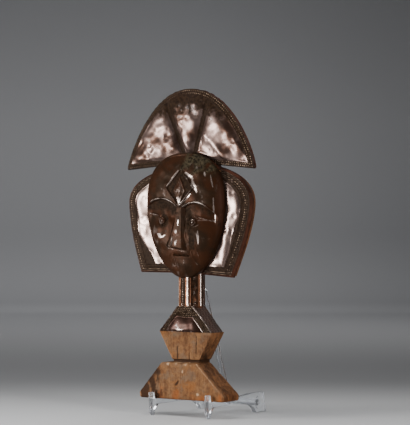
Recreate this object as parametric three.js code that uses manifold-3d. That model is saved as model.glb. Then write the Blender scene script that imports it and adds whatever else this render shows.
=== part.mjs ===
// A kota reliquary figure: a flat figure carved from one piece of wood, dressed in hammered
// copper sheet, standing on the two rails of a clear moulded easel.
// Millimetres, +Z up. The figure faces -Y, and +X is on the viewer's right.
// The origin is on the floor, under the middle of the figure and its easel together.

import * as THREE from "three";
import { mergeVertices } from "three/addons/utils/BufferGeometryUtils.js";
import Module from "manifold-3d";

const wasm = await Module();
wasm.setup();

// The copper: its thickness, the play between it and the wood, and how far it turns over an edge
const SHEET = 1.2;
const PLAY = 0.3;
const TURN_OVER = 8;

// The wooden foot, a low trapezoid with an upright rim
const FOOT_WIDTH = 154;
const FOOT_DEPTH = 42;
const FOOT_HEIGHT = 54.5;
const FOOT_RIM = 9;
const FOOT_SHIFT = -1.5;
const FOOT_TOP_WIDTH = 66;
const FOOT_TOP_DEPTH = 37;
const FOOT_TOP_SHIFT = -6.5;
const WORN_EDGE = 2.4;

// The lozenge below the neck: bare wood below its widest level, copper above it
const WAIST_HEIGHT = 5;
const WAIST_INSET = 1.6;
const LOZENGE_WIDTH = 98;
const LOZENGE_DEPTH = 31;
const LOZENGE_FOOT_WIDTH = 51;
const LOZENGE_LOWER_HEIGHT = 41;
const SHOULDER_HEIGHT = 38.5;
const SHOULDER_TOP_WIDTH = 31;
const SHOULDER_BULGE = 5;
const SHOULDER_BAND = 16;
const SHOULDER_RIDGE = 2;
const SET_BACK = 5;

// The neck, a column with upright lobes, turned so that one valley is near the front
const NECK_RADIUS = 20.6;
const NECK_LENGTH = 41;
const NECK_LOBES = 6;
const LOBE_DEPTH = 1.2;
const NECK_TURN = -7;
const NECK_SEAT = 3;
const NECK_RUNOUT = 45;
const NECK_OPEN_ANGLE = 60;

// The oval head, measured from its widest level
const HEAD_WIDTH = 138;
const HEAD_RISE = 75;
const HEAD_DROP = 112;
const HEAD_RIM = 4;
const HEAD_BULGE = 18.5;
const CROWN_POWER = 2.4;
const JAW_POWER = 1.9;
const BULGE_POWER = 2.45;

// The face, in shares of the head's own width and drop
const EYE_LEVEL = 0.24;
const LEFT_EYE = -0.235;
const RIGHT_EYE = 0.165;
const EYE_RADIUS = 4.6;
const SOCKET_WIDTH = 46;
const SOCKET_HEIGHT = 38;
const SOCKET_DEPTH = 4.5;
const SOCKET_RISE = 6;
const NOSE_TOP_LEVEL = 0.06;
const NOSE_TIP_LEVEL = 0.63;
const NOSE_PROUD = 5;
const NOSE_SHIFT = -0.02;
const NOSE_WIDTH = 36;
const NOSE_RIDGE_WIDTH = 19;
const MOUTH_LEVEL = 0.69;
const MOUTH_WIDTH = 31;
const MOUTH_SLIT = 1.6;
const LIP_WIDTH = 2.8;
const LIP_PROUD = 1.2;
const CHIN_LINE_LEVEL = 0.92;
const CHIN_LINE_WIDTH = 2.4;
const BROW_START = 5;
const BROW_REACH = 55;
const BROW_RISE = 9;
const BROW_SAG = 4;
const BROW_WIDTH = 4.5;
const RELIEF = 2.2;

// The diamond on the forehead
const DIAMOND_WIDTH = 50;
const DIAMOND_HEIGHT = 57;
const DIAMOND_BAND = 10;

// The two wings of hair beside the head, carved as one slab behind it
const WING_SPAN = 226;
const LEFT_RISE = 54;
const RIGHT_RISE = 60;
const WING_ABOVE_CHIN = 8;
const WING_DROP = HEAD_DROP - WING_ABOVE_CHIN;
const WING_BACK = 11;
const WING_PLANE = 6;
const WING_POWER = 2.2;
const WING_TAPER_POWER = 1.6;
const LEFT_TAPER = 23.5;
const RIGHT_TAPER = 34.5;
const RIGHT_TIP_DROP = 5.5;
const WING_TOP_SHARE = 0.93;
const WING_BAND = 16.3;
const WING_LOWER_BAND = 12;
const WING_BEVEL = 5.8;
const WING_RIDGE = 1.1;

// The crest above the head
const CREST_SPAN = 231;
const CREST_RISE = 117;
const CREST_OVERLAP = 21;
const CREST_PLANE = 3;
const CREST_BACK = 10;
const CREST_ACROSS_POWER = 2.15;
const CREST_LEFT_POWER = 1.2;
const CREST_RIGHT_POWER = 1.3;
const CREST_ROOT_RISE = 6;
const CREST_TIP_DROP = 12;
const CREST_UNDERSIDE_SLOPE = 5.1;
const CREST_BAND = 8;
const CREST_BEVEL = 2.6;
const CREST_PILLOW = 4;
const PILLOW_EDGE = 16;
const GROOVE_START = 12;
const GROOVE_ANGLE = 16;
const GROOVE_WIDTH = 9;

// The clear easel: two rails with front posts, a rear bar and an upright arch
const RAIL_HEIGHT = 25;
const RAIL_SPACING = 102;
const RAIL_WIDTH = 7;
const RAIL_DEPTH = 8.5;
const HOOK_HEIGHT = 10;
const HOOK_THICKNESS = 5;
const HOOK_WIDTH = 8;
const HOOK_CLEARANCE = 3;
const EASEL_LENGTH = 154;
const HEEL_HEIGHT = 30;
const HEEL_LENGTH = 27;
const HEEL_SLOPE = 8;
const BOSS_RADIUS = 10;
const BOSS_HOLE = 2.5;
const BOSS_HOLE_DEPTH = 5;
const BOSS_PROUD = 1;
const BAR_RADIUS = 5;
const ARCH_HEIGHT = 192;
const ARCH_BAR = 7;
const ARCH_THICKNESS = 4;
const ARCH_CLEARANCE = 9;
const TOE_RADIUS = 4.2;

// Levels above the underside of the foot
const WAIST_LEVEL = FOOT_HEIGHT + WAIST_HEIGHT;
const WIDEST_LEVEL = WAIST_LEVEL + LOZENGE_LOWER_HEIGHT;
const SHOULDER_TOP = WIDEST_LEVEL + SHOULDER_HEIGHT;
const NECK_FOOT = SHOULDER_TOP - NECK_SEAT;
const CHIN_LEVEL = SHOULDER_TOP + NECK_LENGTH;
const HEAD_LEVEL = CHIN_LEVEL + HEAD_DROP;
const CREST_LEVEL = HEAD_LEVEL + HEAD_RISE - CREST_OVERLAP;
const CREST_ROOT = CREST_LEVEL + CREST_ROOT_RISE;
const BROW_LEVEL = HEAD_LEVEL - NOSE_TOP_LEVEL * HEAD_DROP;
const LINING = SHEET + PLAY;

// A point from its distance to the right, its distance in front of the foot's middle, and its height
function point(x, forward, z) {
  return new THREE.Vector3(x, -forward, z);
}

function degrees(angle) {
  return (angle * Math.PI) / 180;
}

// The angle in degrees of a slope, from its rise and its run
function slopeAngle(rise, run) {
  return (Math.atan2(rise, run) * 180) / Math.PI;
}

// An even run of numbers from start to end, both included
function steps(start, end, count) {
  return Array.from({ length: count + 1 }, (_, i) => start + ((end - start) * i) / count);
}

// The solid of a closed geometry, turned so that its faces point outwards
function solid(geometry) {
  const bare = new THREE.BufferGeometry();
  bare.setAttribute("position", geometry.getAttribute("position").clone());
  if (geometry.index) bare.setIndex(geometry.index.clone());
  const merged = mergeVertices(bare, 1e-3);
  const found = merged.index.array;
  const corners = merged.attributes.position;
  const a = new THREE.Vector3();
  const b = new THREE.Vector3();
  const c = new THREE.Vector3();
  const kept = [];
  let volume = 0;
  for (let i = 0; i < found.length; i += 3) {
    const [p, q, r] = [found[i], found[i + 1], found[i + 2]];
    if (p === q || q === r || r === p) continue;
    kept.push(p, q, r);
    a.fromBufferAttribute(corners, p);
    b.fromBufferAttribute(corners, q);
    c.fromBufferAttribute(corners, r);
    volume += a.dot(b.cross(c));
  }
  if (volume < 0) kept.reverse();
  return new wasm.Manifold(
    new wasm.Mesh({ numProp: 3, vertProperties: corners.array, triVerts: new Uint32Array(kept) }),
  );
}

function join(solids) {
  return solids.reduce((whole, next) => whole.add(next));
}

function cut(whole, tools) {
  return tools.reduce((rest, tool) => rest.subtract(tool), whole);
}

// A closed slab over a net of columns and rows: place gives (x, z), face and back give how far
// forward its two sides are there. A round slab runs once about its middle.
function slab({ columns, rows, place, face, back, round = false }) {
  const positions = [];
  const width = columns.length;
  const count = width * rows.length;
  for (const side of [face, back]) {
    for (const row of rows) {
      for (const column of columns) {
        const [x, z] = place(column, row);
        positions.push(...point(x, side(x, z), z).toArray());
      }
    }
  }
  const index = [];
  const quad = (a, b, c, d) => index.push(a, b, c, a, c, d);
  for (let j = 0; j < rows.length - 1; j += 1) {
    for (let i = 0; i < width - 1; i += 1) {
      const at = j * width + i;
      quad(at, at + 1, at + width + 1, at + width);
      quad(count + at, count + at + width, count + at + width + 1, count + at + 1);
    }
  }
  const wall = (a, b) => quad(a, count + a, count + b, b);
  const last = (rows.length - 1) * width;
  for (let i = 0; i < width - 1; i += 1) {
    wall(i, i + 1);
    wall(last + i + 1, last + i);
  }
  for (let j = 0; j < rows.length - 1 && !round; j += 1) {
    wall((j + 1) * width, j * width);
    wall(j * width + width - 1, (j + 1) * width + width - 1);
  }
  const geometry = new THREE.BufferGeometry();
  geometry.setAttribute("position", new THREE.Float32BufferAttribute(positions, 3));
  geometry.setIndex(index);
  return solid(geometry);
}

// A closed solid through rings of points, capped at both ends, or run round to its own start
function loft(rings, looped = false) {
  const size = rings[0].length;
  const positions = rings.flat().flatMap((corner) => corner.toArray());
  const index = [];
  const spans = looped ? rings.length : rings.length - 1;
  for (let j = 0; j < spans; j += 1) {
    const next = (j + 1) % rings.length;
    for (let i = 0; i < size; i += 1) {
      const right = (i + 1) % size;
      const corners = [j * size + i, j * size + right, next * size + right, next * size + i];
      index.push(corners[0], corners[1], corners[2], corners[0], corners[2], corners[3]);
    }
  }
  const cap = (ring, first, forwards) => {
    const middle = ring.reduce((sum, corner) => sum.add(corner), new THREE.Vector3());
    const centre = positions.push(...middle.divideScalar(size).toArray()) / 3 - 1;
    for (let i = 0; i < size; i += 1) {
      const pair = [first + i, first + ((i + 1) % size)];
      index.push(centre, ...(forwards ? pair : pair.reverse()));
    }
  };
  if (!looped) {
    cap(rings[0], 0, false);
    cap(rings[rings.length - 1], (rings.length - 1) * size, true);
  }
  const geometry = new THREE.BufferGeometry();
  geometry.setAttribute("position", new THREE.Float32BufferAttribute(positions, 3));
  geometry.setIndex(index);
  return solid(geometry);
}

// A raised line along a path of (x, z) points on a face, with its foot sunk below the face
function ridge(path, width, height, face, looped = false) {
  const sunk = 0.8;
  const crown = 0.28;
  const count = path.length;
  const at = (i) => path[looped ? (i + count) % count : THREE.MathUtils.clamp(i, 0, count - 1)];
  const rings = path.map(([x, z], i) => {
    const here = new THREE.Vector2(x, z);
    const into = here.clone().sub(new THREE.Vector2(...at(i - 1))).normalize();
    const outOf = new THREE.Vector2(...at(i + 1)).sub(here).normalize();
    const along = into.add(outOf).normalize();
    const mitre = along.dot(outOf.lengthSq() ? outOf : along);
    const corner = (share, lift) => {
      const reach = (width * share) / mitre;
      const [cx, cz] = [x - along.y * reach, z + along.x * reach];
      return point(cx, face(cx, cz) + lift, cz);
    };
    return [corner(-0.5, -sunk), corner(0.5, -sunk), corner(crown, height), corner(-crown, height)];
  });
  return loft(rings, looped);
}

function box(low, high) {
  const size = [0, 1, 2].map((i) => high[i] - low[i]);
  const geometry = new THREE.BoxGeometry(...size);
  return solid(geometry.translate(...low.map((value, i) => value + size[i] / 2)));
}

// The wooden foot: an upright rim, then sloped sides up to a smaller top that sits off to one side
function footSolid() {
  const ring = (width, depth, middle, z) => {
    const [x, y, worn] = [width / 2, depth / 2, WORN_EDGE];
    const corners = [
      [-x, y - worn], [-x + worn, y], [x - worn, y], [x, y - worn],
      [x, -y + worn], [x - worn, -y], [-x + worn, -y], [-x, -y + worn],
    ];
    return corners.map(([cx, forward]) => point(cx + middle, forward, z));
  };
  return loft([
    ring(FOOT_WIDTH - WORN_EDGE, FOOT_DEPTH - WORN_EDGE, FOOT_SHIFT, 0),
    ring(FOOT_WIDTH, FOOT_DEPTH, FOOT_SHIFT, WORN_EDGE / 2),
    ring(FOOT_WIDTH, FOOT_DEPTH, FOOT_SHIFT, FOOT_RIM),
    ring(FOOT_TOP_WIDTH + WORN_EDGE, FOOT_TOP_DEPTH, FOOT_TOP_SHIFT, FOOT_HEIGHT - WORN_EDGE / 2),
    ring(FOOT_TOP_WIDTH - WORN_EDGE, FOOT_TOP_DEPTH - WORN_EDGE, FOOT_TOP_SHIFT, FOOT_HEIGHT),
  ]);
}

// A four-sided ring of the lozenge, drawn in by an inset
function lozengeRing(width, inset, z) {
  const x = width / 2 - inset;
  const front = LOZENGE_DEPTH / 2 - SET_BACK - inset;
  const back = -LOZENGE_DEPTH / 2 - SET_BACK + inset;
  return [point(-x, front, z), point(x, front, z), point(x, back, z), point(-x, back, z)];
}

// The bare lower half of the lozenge, on a short waist that reads as a dark groove
function lowerLozenge() {
  const waist = loft([
    lozengeRing(LOZENGE_FOOT_WIDTH, WAIST_INSET, FOOT_HEIGHT - WORN_EDGE),
    lozengeRing(LOZENGE_FOOT_WIDTH, WAIST_INSET, WAIST_LEVEL + WORN_EDGE),
  ]);
  const body = loft([
    lozengeRing(LOZENGE_FOOT_WIDTH, 0, WAIST_LEVEL),
    lozengeRing(LOZENGE_WIDTH, 0, WIDEST_LEVEL),
  ]);
  return waist.add(body);
}

function shoulderLevels() {
  return steps(WIDEST_LEVEL, SHOULDER_TOP, 4);
}

function shoulderHalfWidth(z) {
  const share = (z - WIDEST_LEVEL) / SHOULDER_HEIGHT;
  return THREE.MathUtils.lerp(LOZENGE_WIDTH, SHOULDER_TOP_WIDTH, share) / 2;
}

// The front of the shoulder swells more and more towards the neck
function shoulderFace(x, z) {
  const share = (z - WIDEST_LEVEL) / SHOULDER_HEIGHT;
  const across = x / shoulderHalfWidth(z);
  const swell = SHOULDER_BULGE * (0.25 + 0.75 * share) * (1 - across ** 2);
  return LOZENGE_DEPTH / 2 - SET_BACK + Math.max(0, swell);
}

// The shoulder through a run of levels, drawn in by an inset, with its back at the given depth
function shoulder(inset, levels, back) {
  const rings = levels.map((z) => {
    const halfWidth = shoulderHalfWidth(z) - inset;
    const front = steps(-halfWidth, halfWidth, 8).map((x) => point(x, shoulderFace(x, z) - inset, z));
    return [...front, point(halfWidth, back, z), point(-halfWidth, back, z)];
  });
  return loft(rings);
}

// One level of the lobed neck, drawn in by an inset
function neckRing(inset, z) {
  return steps(0, 360, NECK_LOBES * 6).slice(0, -1).map((angle) => {
    const valley = Math.cos(degrees((angle * NECK_LOBES) / 2)) ** 2;
    const radius = NECK_RADIUS - inset - LOBE_DEPTH * valley;
    const turn = degrees(angle + NECK_TURN);
    return point(radius * Math.sin(turn), radius * Math.cos(turn) - SET_BACK, z);
  });
}

function neck(inset, from, to) {
  return loft([neckRing(inset, from), neckRing(inset, to)]);
}

// The neck's wood, which runs out into the back of the head as a low ridge
function neckCore() {
  const runout = neckRing(NECK_RADIUS / 2, CHIN_LEVEL + NECK_RUNOUT);
  const above = runout.map((corner) => corner.setY(corner.y - NECK_RADIUS / 4));
  return loft([neckRing(LINING, NECK_FOOT), neckRing(LINING, CHIN_LEVEL + TURN_OVER), above]);
}

// How far out a point of the head lies: 0 in its middle, 1 on its outline
function headShare(x, z, inset) {
  const rise = z - HEAD_LEVEL;
  const reach = (rise > 0 ? HEAD_RISE : HEAD_DROP) - inset;
  const power = rise > 0 ? CROWN_POWER : JAW_POWER;
  const across = Math.abs(x / (HEAD_WIDTH / 2 - inset)) ** power;
  return (across + Math.abs(rise / reach) ** power) ** (1 / power);
}

function headSwell(share) {
  return HEAD_BULGE * (1 - Math.min(1, share) ** BULGE_POWER) ** (1 / BULGE_POWER);
}

function headFace(x, z) {
  return WING_PLANE + HEAD_RIM + headSwell(headShare(x, z, 0));
}

// The plain oval of the head, drawn in by an inset, with its back at the given depth
function headOval(inset, back, rings) {
  const place = (angle, row) => {
    const turn = degrees(angle);
    const reach = (Math.cos(turn) > 0 ? HEAD_RISE : HEAD_DROP) - inset;
    const x = (HEAD_WIDTH / 2 - inset) * Math.sin(turn);
    const z = reach * Math.cos(turn);
    const scale = row / headShare(x, HEAD_LEVEL + z, inset);
    return [x * scale, HEAD_LEVEL + z * scale];
  };
  return slab({
    columns: steps(0, 360, 40),
    rows: steps(0, 90, rings).map((angle) => Math.sin(degrees(angle))),
    place,
    face: (x, z) => WING_PLANE + HEAD_RIM - inset + headSwell(headShare(x, z, inset)),
    back: () => back,
    round: true,
  });
}

// The hollows under the brows, deeper by the given amount
function eyeSockets(deeper) {
  const z = HEAD_LEVEL - EYE_LEVEL * HEAD_DROP + SOCKET_RISE;
  return [LEFT_EYE, RIGHT_EYE].map((share) => {
    const x = share * HEAD_WIDTH;
    const ball = new THREE.SphereGeometry(1, 16, 10);
    const reach = 2.4 * SOCKET_DEPTH + deeper;
    ball.scale(SOCKET_WIDTH / 2 + deeper, reach, SOCKET_HEIGHT / 2 + deeper);
    const forward = headFace(x, z) + reach - SOCKET_DEPTH - deeper;
    return solid(ball.translate(x, -forward, z));
  });
}

// How far forward the tip of the nose stands
function noseTip() {
  return headFace(NOSE_SHIFT * HEAD_WIDTH, HEAD_LEVEL - NOSE_TIP_LEVEL * HEAD_DROP) + NOSE_PROUD;
}

// The wedge of the nose, from the bridge between the brows to its blunt tip
function nose() {
  const top = BROW_LEVEL;
  const tip = HEAD_LEVEL - NOSE_TIP_LEVEL * HEAD_DROP;
  const middle = NOSE_SHIFT * HEAD_WIDTH;
  const ring = (share, z) => {
    const foot = (NOSE_WIDTH * (0.28 + 0.72 * share)) / 2;
    const crown = (NOSE_RIDGE_WIDTH * (0.4 + 0.6 * share)) / 2;
    const base = headFace(middle, z) - SOCKET_DEPTH;
    const proud = base + SOCKET_DEPTH + NOSE_PROUD * (0.2 + 0.8 * share);
    return [
      point(middle - foot, base, z), point(middle + foot, base, z),
      point(middle + crown, proud, z), point(middle - crown, proud, z),
    ];
  };
  const slope = steps(0, 1, 4).map((share) => ring(share, top + (tip - top) * share));
  return loft(slope);
}

// The raised band round the diamond on the forehead
function diamond() {
  const [x, z] = [(DIAMOND_WIDTH - DIAMOND_BAND) / 2, (DIAMOND_HEIGHT - DIAMOND_BAND) / 2];
  const level = BROW_LEVEL + DIAMOND_HEIGHT / 2;
  const corners = [[0, z], [x, 0], [0, -z], [-x, 0]];
  const path = corners.flatMap(([cx, cz], i) => {
    const [nx, nz] = corners[(i + 1) % 4];
    return [0, 0.33, 0.67].map((s) => [cx + (nx - cx) * s, level + cz + (nz - cz) * s]);
  });
  return ridge(path, DIAMOND_BAND, RELIEF, headFace, true);
}

// The brow arcs, which run from the nose out to the sides of the head
function brows() {
  return [-1, 1].map((side) => {
    const path = steps(0, 1, 8).map((share) => {
      const rise = BROW_RISE * Math.sin(Math.PI * share) - BROW_SAG * share ** 2;
      return [side * (BROW_START + share * BROW_REACH), BROW_LEVEL + rise];
    });
    return ridge(path, BROW_WIDTH, RELIEF, headFace);
  });
}

// The eyes, round bosses that stand in the hollows
function eyes() {
  const z = HEAD_LEVEL - EYE_LEVEL * HEAD_DROP;
  return [LEFT_EYE, RIGHT_EYE].map((share) => {
    const x = share * HEAD_WIDTH;
    const ball = new THREE.SphereGeometry(EYE_RADIUS, 12, 8);
    return solid(ball.translate(x, -(headFace(x, z) - SOCKET_DEPTH + 0.8), z));
  });
}

// The two lips with the slit between them, and the lines from the mouth down to the chin
function mouthAndChin() {
  const z = HEAD_LEVEL - MOUTH_LEVEL * HEAD_DROP;
  const chin = HEAD_LEVEL - CHIN_LINE_LEVEL * HEAD_DROP;
  const apart = (MOUTH_SLIT + LIP_WIDTH) / 2;
  const lips = [-apart, apart].map((lift) => {
    const path = steps(-0.5, 0.5, 4).map((share) => [share * MOUTH_WIDTH, z + lift]);
    return ridge(path, LIP_WIDTH, LIP_PROUD, headFace);
  });
  const start = z - apart - LIP_WIDTH;
  const lines = [-1, 1].map((side) => {
    const path = steps(0, 1, 3).map((share) => {
      return [side * MOUTH_WIDTH * (0.36 + 0.18 * share), start + (chin - start) * share];
    });
    return ridge(path, CHIN_LINE_WIDTH, LIP_PROUD, headFace);
  });
  return [...lips, ...lines];
}

// The half width of the wings at a height, on the left (-1) or on the right (+1)
function wingHalfWidth(side, z) {
  const reach = side < 0 ? LEFT_RISE : RIGHT_RISE;
  const rise = Math.min(z - HEAD_LEVEL, 0.97 * reach);
  if (rise > 0) return (WING_SPAN / 2) * (1 - (rise / reach) ** WING_POWER) ** (1 / WING_POWER);
  const taper = side < 0 ? LEFT_TAPER : RIGHT_TAPER;
  return WING_SPAN / 2 - taper * (-rise / WING_DROP) ** WING_TAPER_POWER;
}

// How much wider a band along the wing's edge is, measured level, where the edge leans
function wingLean(side, z) {
  const slope = (wingHalfWidth(side, z + 1) - wingHalfWidth(side, z - 1)) / 2;
  return Math.hypot(1, slope);
}

// The slab of the two wings, drawn in by an inset, with its back at the given depth
function wings(inset, back) {
  const fromEdge = [0, WING_BAND * 0.75, WING_BAND, WING_BAND * 1.2, WING_SPAN / 4];
  const columns = [
    ...fromEdge.map((distance) => [-1, distance]),
    [1, WING_SPAN],
    ...fromEdge.map((distance) => [1, distance]).reverse(),
  ];
  const top = Math.max(LEFT_RISE, RIGHT_RISE) * WING_TOP_SHARE - inset;
  const bottom = inset - WING_DROP;
  const lower = [bottom, bottom + WING_LOWER_BAND, ...steps(bottom * 0.8, 0, 6)];
  const upper = steps(15, 90, 6).map((angle) => top * Math.sin(degrees(angle)));
  const place = ([side, distance], row) => {
    const z = HEAD_LEVEL + row;
    const edge = wingHalfWidth(side, z);
    const x = Math.max(0, edge - (distance + inset) * wingLean(side, z));
    const droop = side > 0 && row < 0 ? RIGHT_TIP_DROP * (x / edge) * (-row / WING_DROP) ** 3 : 0;
    return [side * x, z - droop];
  };
  const face = (x, z) => {
    const side = x < 0 ? -1 : 1;
    const sideways = (wingHalfWidth(side, z) - Math.abs(x)) / wingLean(side, z);
    const upwards = (z - HEAD_LEVEL + WING_DROP) * (WING_BAND / WING_LOWER_BAND);
    const share = THREE.MathUtils.clamp(Math.min(sideways, upwards) / WING_BAND, 0, 1);
    const raised = inset === 0 && Math.abs(sideways - WING_BAND) < 1 ? WING_RIDGE : 0;
    return WING_PLANE - WING_BEVEL * (1 - share) + raised - inset;
  };
  return slab({ columns, rows: [...lower, ...upper], place, face, back: () => back });
}

// How far from the middle a ray of the crest's fan starts: the rays spread apart between the grooves
function fanStart(angle) {
  return GROOVE_START * THREE.MathUtils.clamp(angle / GROOVE_ANGLE, -1, 1);
}

// How far the crest reaches from a ray's start in its direction, found by halving
function crestReach(angle, start, inset) {
  const turn = degrees(angle);
  const power = angle < 0 ? CREST_LEFT_POWER : CREST_RIGHT_POWER;
  const outside = (reach) => {
    const x = Math.abs(start + reach * Math.sin(turn)) / (CREST_SPAN / 2 - inset);
    const rise = CREST_ROOT + inset + reach * Math.cos(turn) - CREST_LEVEL;
    if (rise < 0) return x ** 3 + Math.abs(rise / CREST_TIP_DROP) ** 3 > 1;
    return x ** CREST_ACROSS_POWER + (rise / (CREST_RISE - inset)) ** power > 1;
  };
  let [near, far] = [0, CREST_SPAN];
  for (let i = 0; i < 40; i += 1) {
    const middle = (near + far) / 2;
    if (outside(middle)) far = middle;
    else near = middle;
  }
  return near;
}

// The fan of the crest, drawn in by an inset. The carved one has three pillows with grooves between.
function crest(inset, back, carved) {
  const end = 90 + CREST_UNDERSIDE_SLOPE;
  const tip = 90 + slopeAngle(CREST_ROOT_RISE, CREST_SPAN / 2 - GROOVE_START);
  const spread = slopeAngle(GROOVE_WIDTH, 1.4 * CREST_RISE);
  const inner = steps(0, GROOVE_ANGLE - spread, 3);
  const outer = [...steps(GROOVE_ANGLE + spread, tip, 9), end];
  const oneSide = [...inner, GROOVE_ANGLE, ...outer];
  const columns = [...oneSide.slice(1).map((angle) => -angle).reverse(), ...oneSide];
  const border = 1 - CREST_BAND / CREST_RISE;
  const rows = [...steps(0, border, carved ? 6 : 2), (1 + border) / 2, 1];
  const place = (angle, row) => {
    const start = fanStart(angle);
    const reach = crestReach(angle, start, inset) * row;
    const turn = degrees(angle);
    return [start + reach * Math.sin(turn), CREST_ROOT + inset + reach * Math.cos(turn)];
  };
  const face = (x, z) => {
    const rise = z - CREST_ROOT;
    const aside = Math.abs(x) - GROOVE_START;
    const underside = degrees(CREST_UNDERSIDE_SLOPE);
    const fromRim = crestReach(slopeAngle(x, rise), 0, 0) - Math.hypot(x, rise);
    const fromUnderside = rise * Math.cos(underside) + Math.max(0, aside) * Math.sin(underside);
    const fromEdge = Math.max(0, Math.min(fromRim, fromUnderside));
    const bevel = CREST_BEVEL * (1 - THREE.MathUtils.clamp((fromEdge - inset) / CREST_BAND, 0, 1));
    const lean = degrees(GROOVE_ANGLE);
    const fromGroove = Math.abs(aside * Math.cos(lean) - rise * Math.sin(lean));
    const nearest = Math.min(fromEdge - CREST_BAND, fromGroove - GROOVE_WIDTH / 3);
    const pillow = CREST_PILLOW * Math.sqrt(THREE.MathUtils.clamp(nearest / PILLOW_EDGE, 0, 1));
    return CREST_PLANE - bevel + (carved ? pillow : 0) - inset;
  };
  return slab({ columns, rows, place, face, back: () => back });
}

// The whole figure under its copper, carved from one piece of wood
function woodenFigure() {
  const headCore = cut(headOval(LINING, -WING_BACK, 5), eyeSockets(LINING));
  const coreLevels = [WIDEST_LEVEL - PLAY, ...shoulderLevels(), SHOULDER_TOP + PLAY];
  return join([
    footSolid(),
    lowerLozenge(),
    shoulder(LINING, coreLevels, -LOZENGE_DEPTH / 2 - SET_BACK),
    neckCore(),
    wings(LINING, -WING_BACK),
    crest(LINING, -CREST_BACK, false),
    headCore,
  ]);
}

// The copper on the crest, which stops round the head
function crestSheet() {
  const skin = crest(0, CREST_PLANE - TURN_OVER, true);
  return cut(skin, [crest(SHEET, -2 * CREST_BACK, false), headOval(SHEET, -2 * WING_BACK, 5)]);
}

// The copper on one wing, from the head's edge round to the wing's side
function wingSheet(side) {
  const skin = wings(0, WING_PLANE - WING_BEVEL - TURN_OVER / 2);
  const both = cut(skin, [
    wings(SHEET, -2 * WING_BACK),
    headOval(SHEET, -2 * WING_BACK, 5),
    headOval(-PLAY, WING_PLANE + PLAY / 2, 5),
  ]);
  const reach = side * WING_SPAN;
  const low = [Math.min(0, reach), -WING_SPAN, 0];
  const high = [Math.max(0, reach), WING_SPAN, CREST_LEVEL];
  return both.intersect(box(low, high));
}

// The copper face, worked into nose, brows, eyes, mouth and the diamond
function faceSheet() {
  const back = WING_PLANE + PLAY;
  const oval = cut(headOval(0, back, 8), eyeSockets(0));
  const worked = join([oval, nose(), diamond(), ...brows(), ...eyes(), ...mouthAndChin()]);
  const bed = cut(headOval(SHEET, -2 * WING_BACK, 5), eyeSockets(SHEET));
  return cut(worked, [bed, neck(SHEET, SHOULDER_TOP, CHIN_LEVEL + TURN_OVER)]);
}

// The copper round the neck, open at the back, between the shoulder and the chin
function neckSheet() {
  const tube = neck(0, SHOULDER_TOP + PLAY, CHIN_LEVEL + TURN_OVER);
  const reach = 2 * NECK_RADIUS;
  const side = reach * Math.tan(degrees(NECK_OPEN_ANGLE / 2));
  const opening = [-1, 1].map((end) => {
    const z = end > 0 ? HEAD_LEVEL : 0;
    return [point(0, -SET_BACK, z), point(-side, -reach - SET_BACK, z), point(side, -reach - SET_BACK, z)];
  });
  return cut(tube, [
    neck(SHEET, 0, HEAD_LEVEL),
    headOval(-PLAY, -2 * WING_BACK, 8),
    wings(-PLAY, -WING_BACK - PLAY),
    loft(opening),
  ]);
}

// The copper over the shoulder, with a ridge inside each sloping band
function shoulderSheet() {
  const back = -LOZENGE_DEPTH / 2 - SET_BACK;
  const [lowest, ...levels] = shoulderLevels();
  const skin = shoulder(0, [lowest + PLAY, ...levels], back + TURN_OVER / 2);
  const ridges = [-1, 1].map((side) => {
    const path = steps(WIDEST_LEVEL + SHOULDER_RIDGE, SHOULDER_TOP - SHOULDER_BAND / 2, 4).map((z) => {
      return [side * (shoulderHalfWidth(z) - SHOULDER_BAND), z];
    });
    return ridge(path, SHOULDER_RIDGE, SHOULDER_RIDGE / 2, shoulderFace);
  });
  const bed = shoulder(SHEET, [lowest - PLAY, lowest, ...levels, SHOULDER_TOP + PLAY], back - TURN_OVER);
  return cut(join([skin, ...ridges]), [bed, neck(-PLAY, NECK_FOOT - PLAY, HEAD_LEVEL)]);
}

// A rail of the easel in side view: y runs back from the figure's middle, z up from the floor
function railOutline() {
  const front = -FOOT_DEPTH / 2 - HOOK_CLEARANCE;
  const toe = front - HOOK_THICKNESS;
  const heel = toe + EASEL_LENGTH;
  const top = RAIL_HEIGHT - PLAY;
  const outline = new THREE.Shape();
  outline.moveTo(toe, TOE_RADIUS);
  outline.lineTo(toe, RAIL_HEIGHT + HOOK_HEIGHT - 2);
  outline.lineTo(toe + 2, RAIL_HEIGHT + HOOK_HEIGHT);
  outline.lineTo(front, RAIL_HEIGHT + HOOK_HEIGHT - 1);
  outline.lineTo(front + 1, top);
  outline.lineTo(FOOT_DEPTH / 2 + ARCH_CLEARANCE, top);
  outline.lineTo(heel - HEEL_LENGTH * 1.5, HEEL_HEIGHT);
  outline.lineTo(heel - HEEL_SLOPE, HEEL_HEIGHT);
  outline.lineTo(heel, 0);
  outline.lineTo(heel - HEEL_LENGTH, 0);
  outline.bezierCurveTo(
    heel - HEEL_LENGTH * 1.4, RAIL_HEIGHT - RAIL_DEPTH,
    heel - HEEL_LENGTH * 2, RAIL_HEIGHT - RAIL_DEPTH,
    toe + EASEL_LENGTH * 0.4, RAIL_HEIGHT - RAIL_DEPTH,
  );
  outline.lineTo(toe + HOOK_THICKNESS * 3, RAIL_HEIGHT - RAIL_DEPTH);
  outline.lineTo(toe + HOOK_THICKNESS + 2, TOE_RADIUS * 2);
  outline.lineTo(toe + HOOK_THICKNESS + 1, TOE_RADIUS);
  return outline;
}

// A cylinder along X, between two places, at the axis of the rear bosses
function alongX(radius, from, to, y, z, sides) {
  const rod = new THREE.CylinderGeometry(radius, radius, to - from, sides);
  return solid(rod.rotateZ(Math.PI / 2).translate((from + to) / 2, y, z));
}

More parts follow.
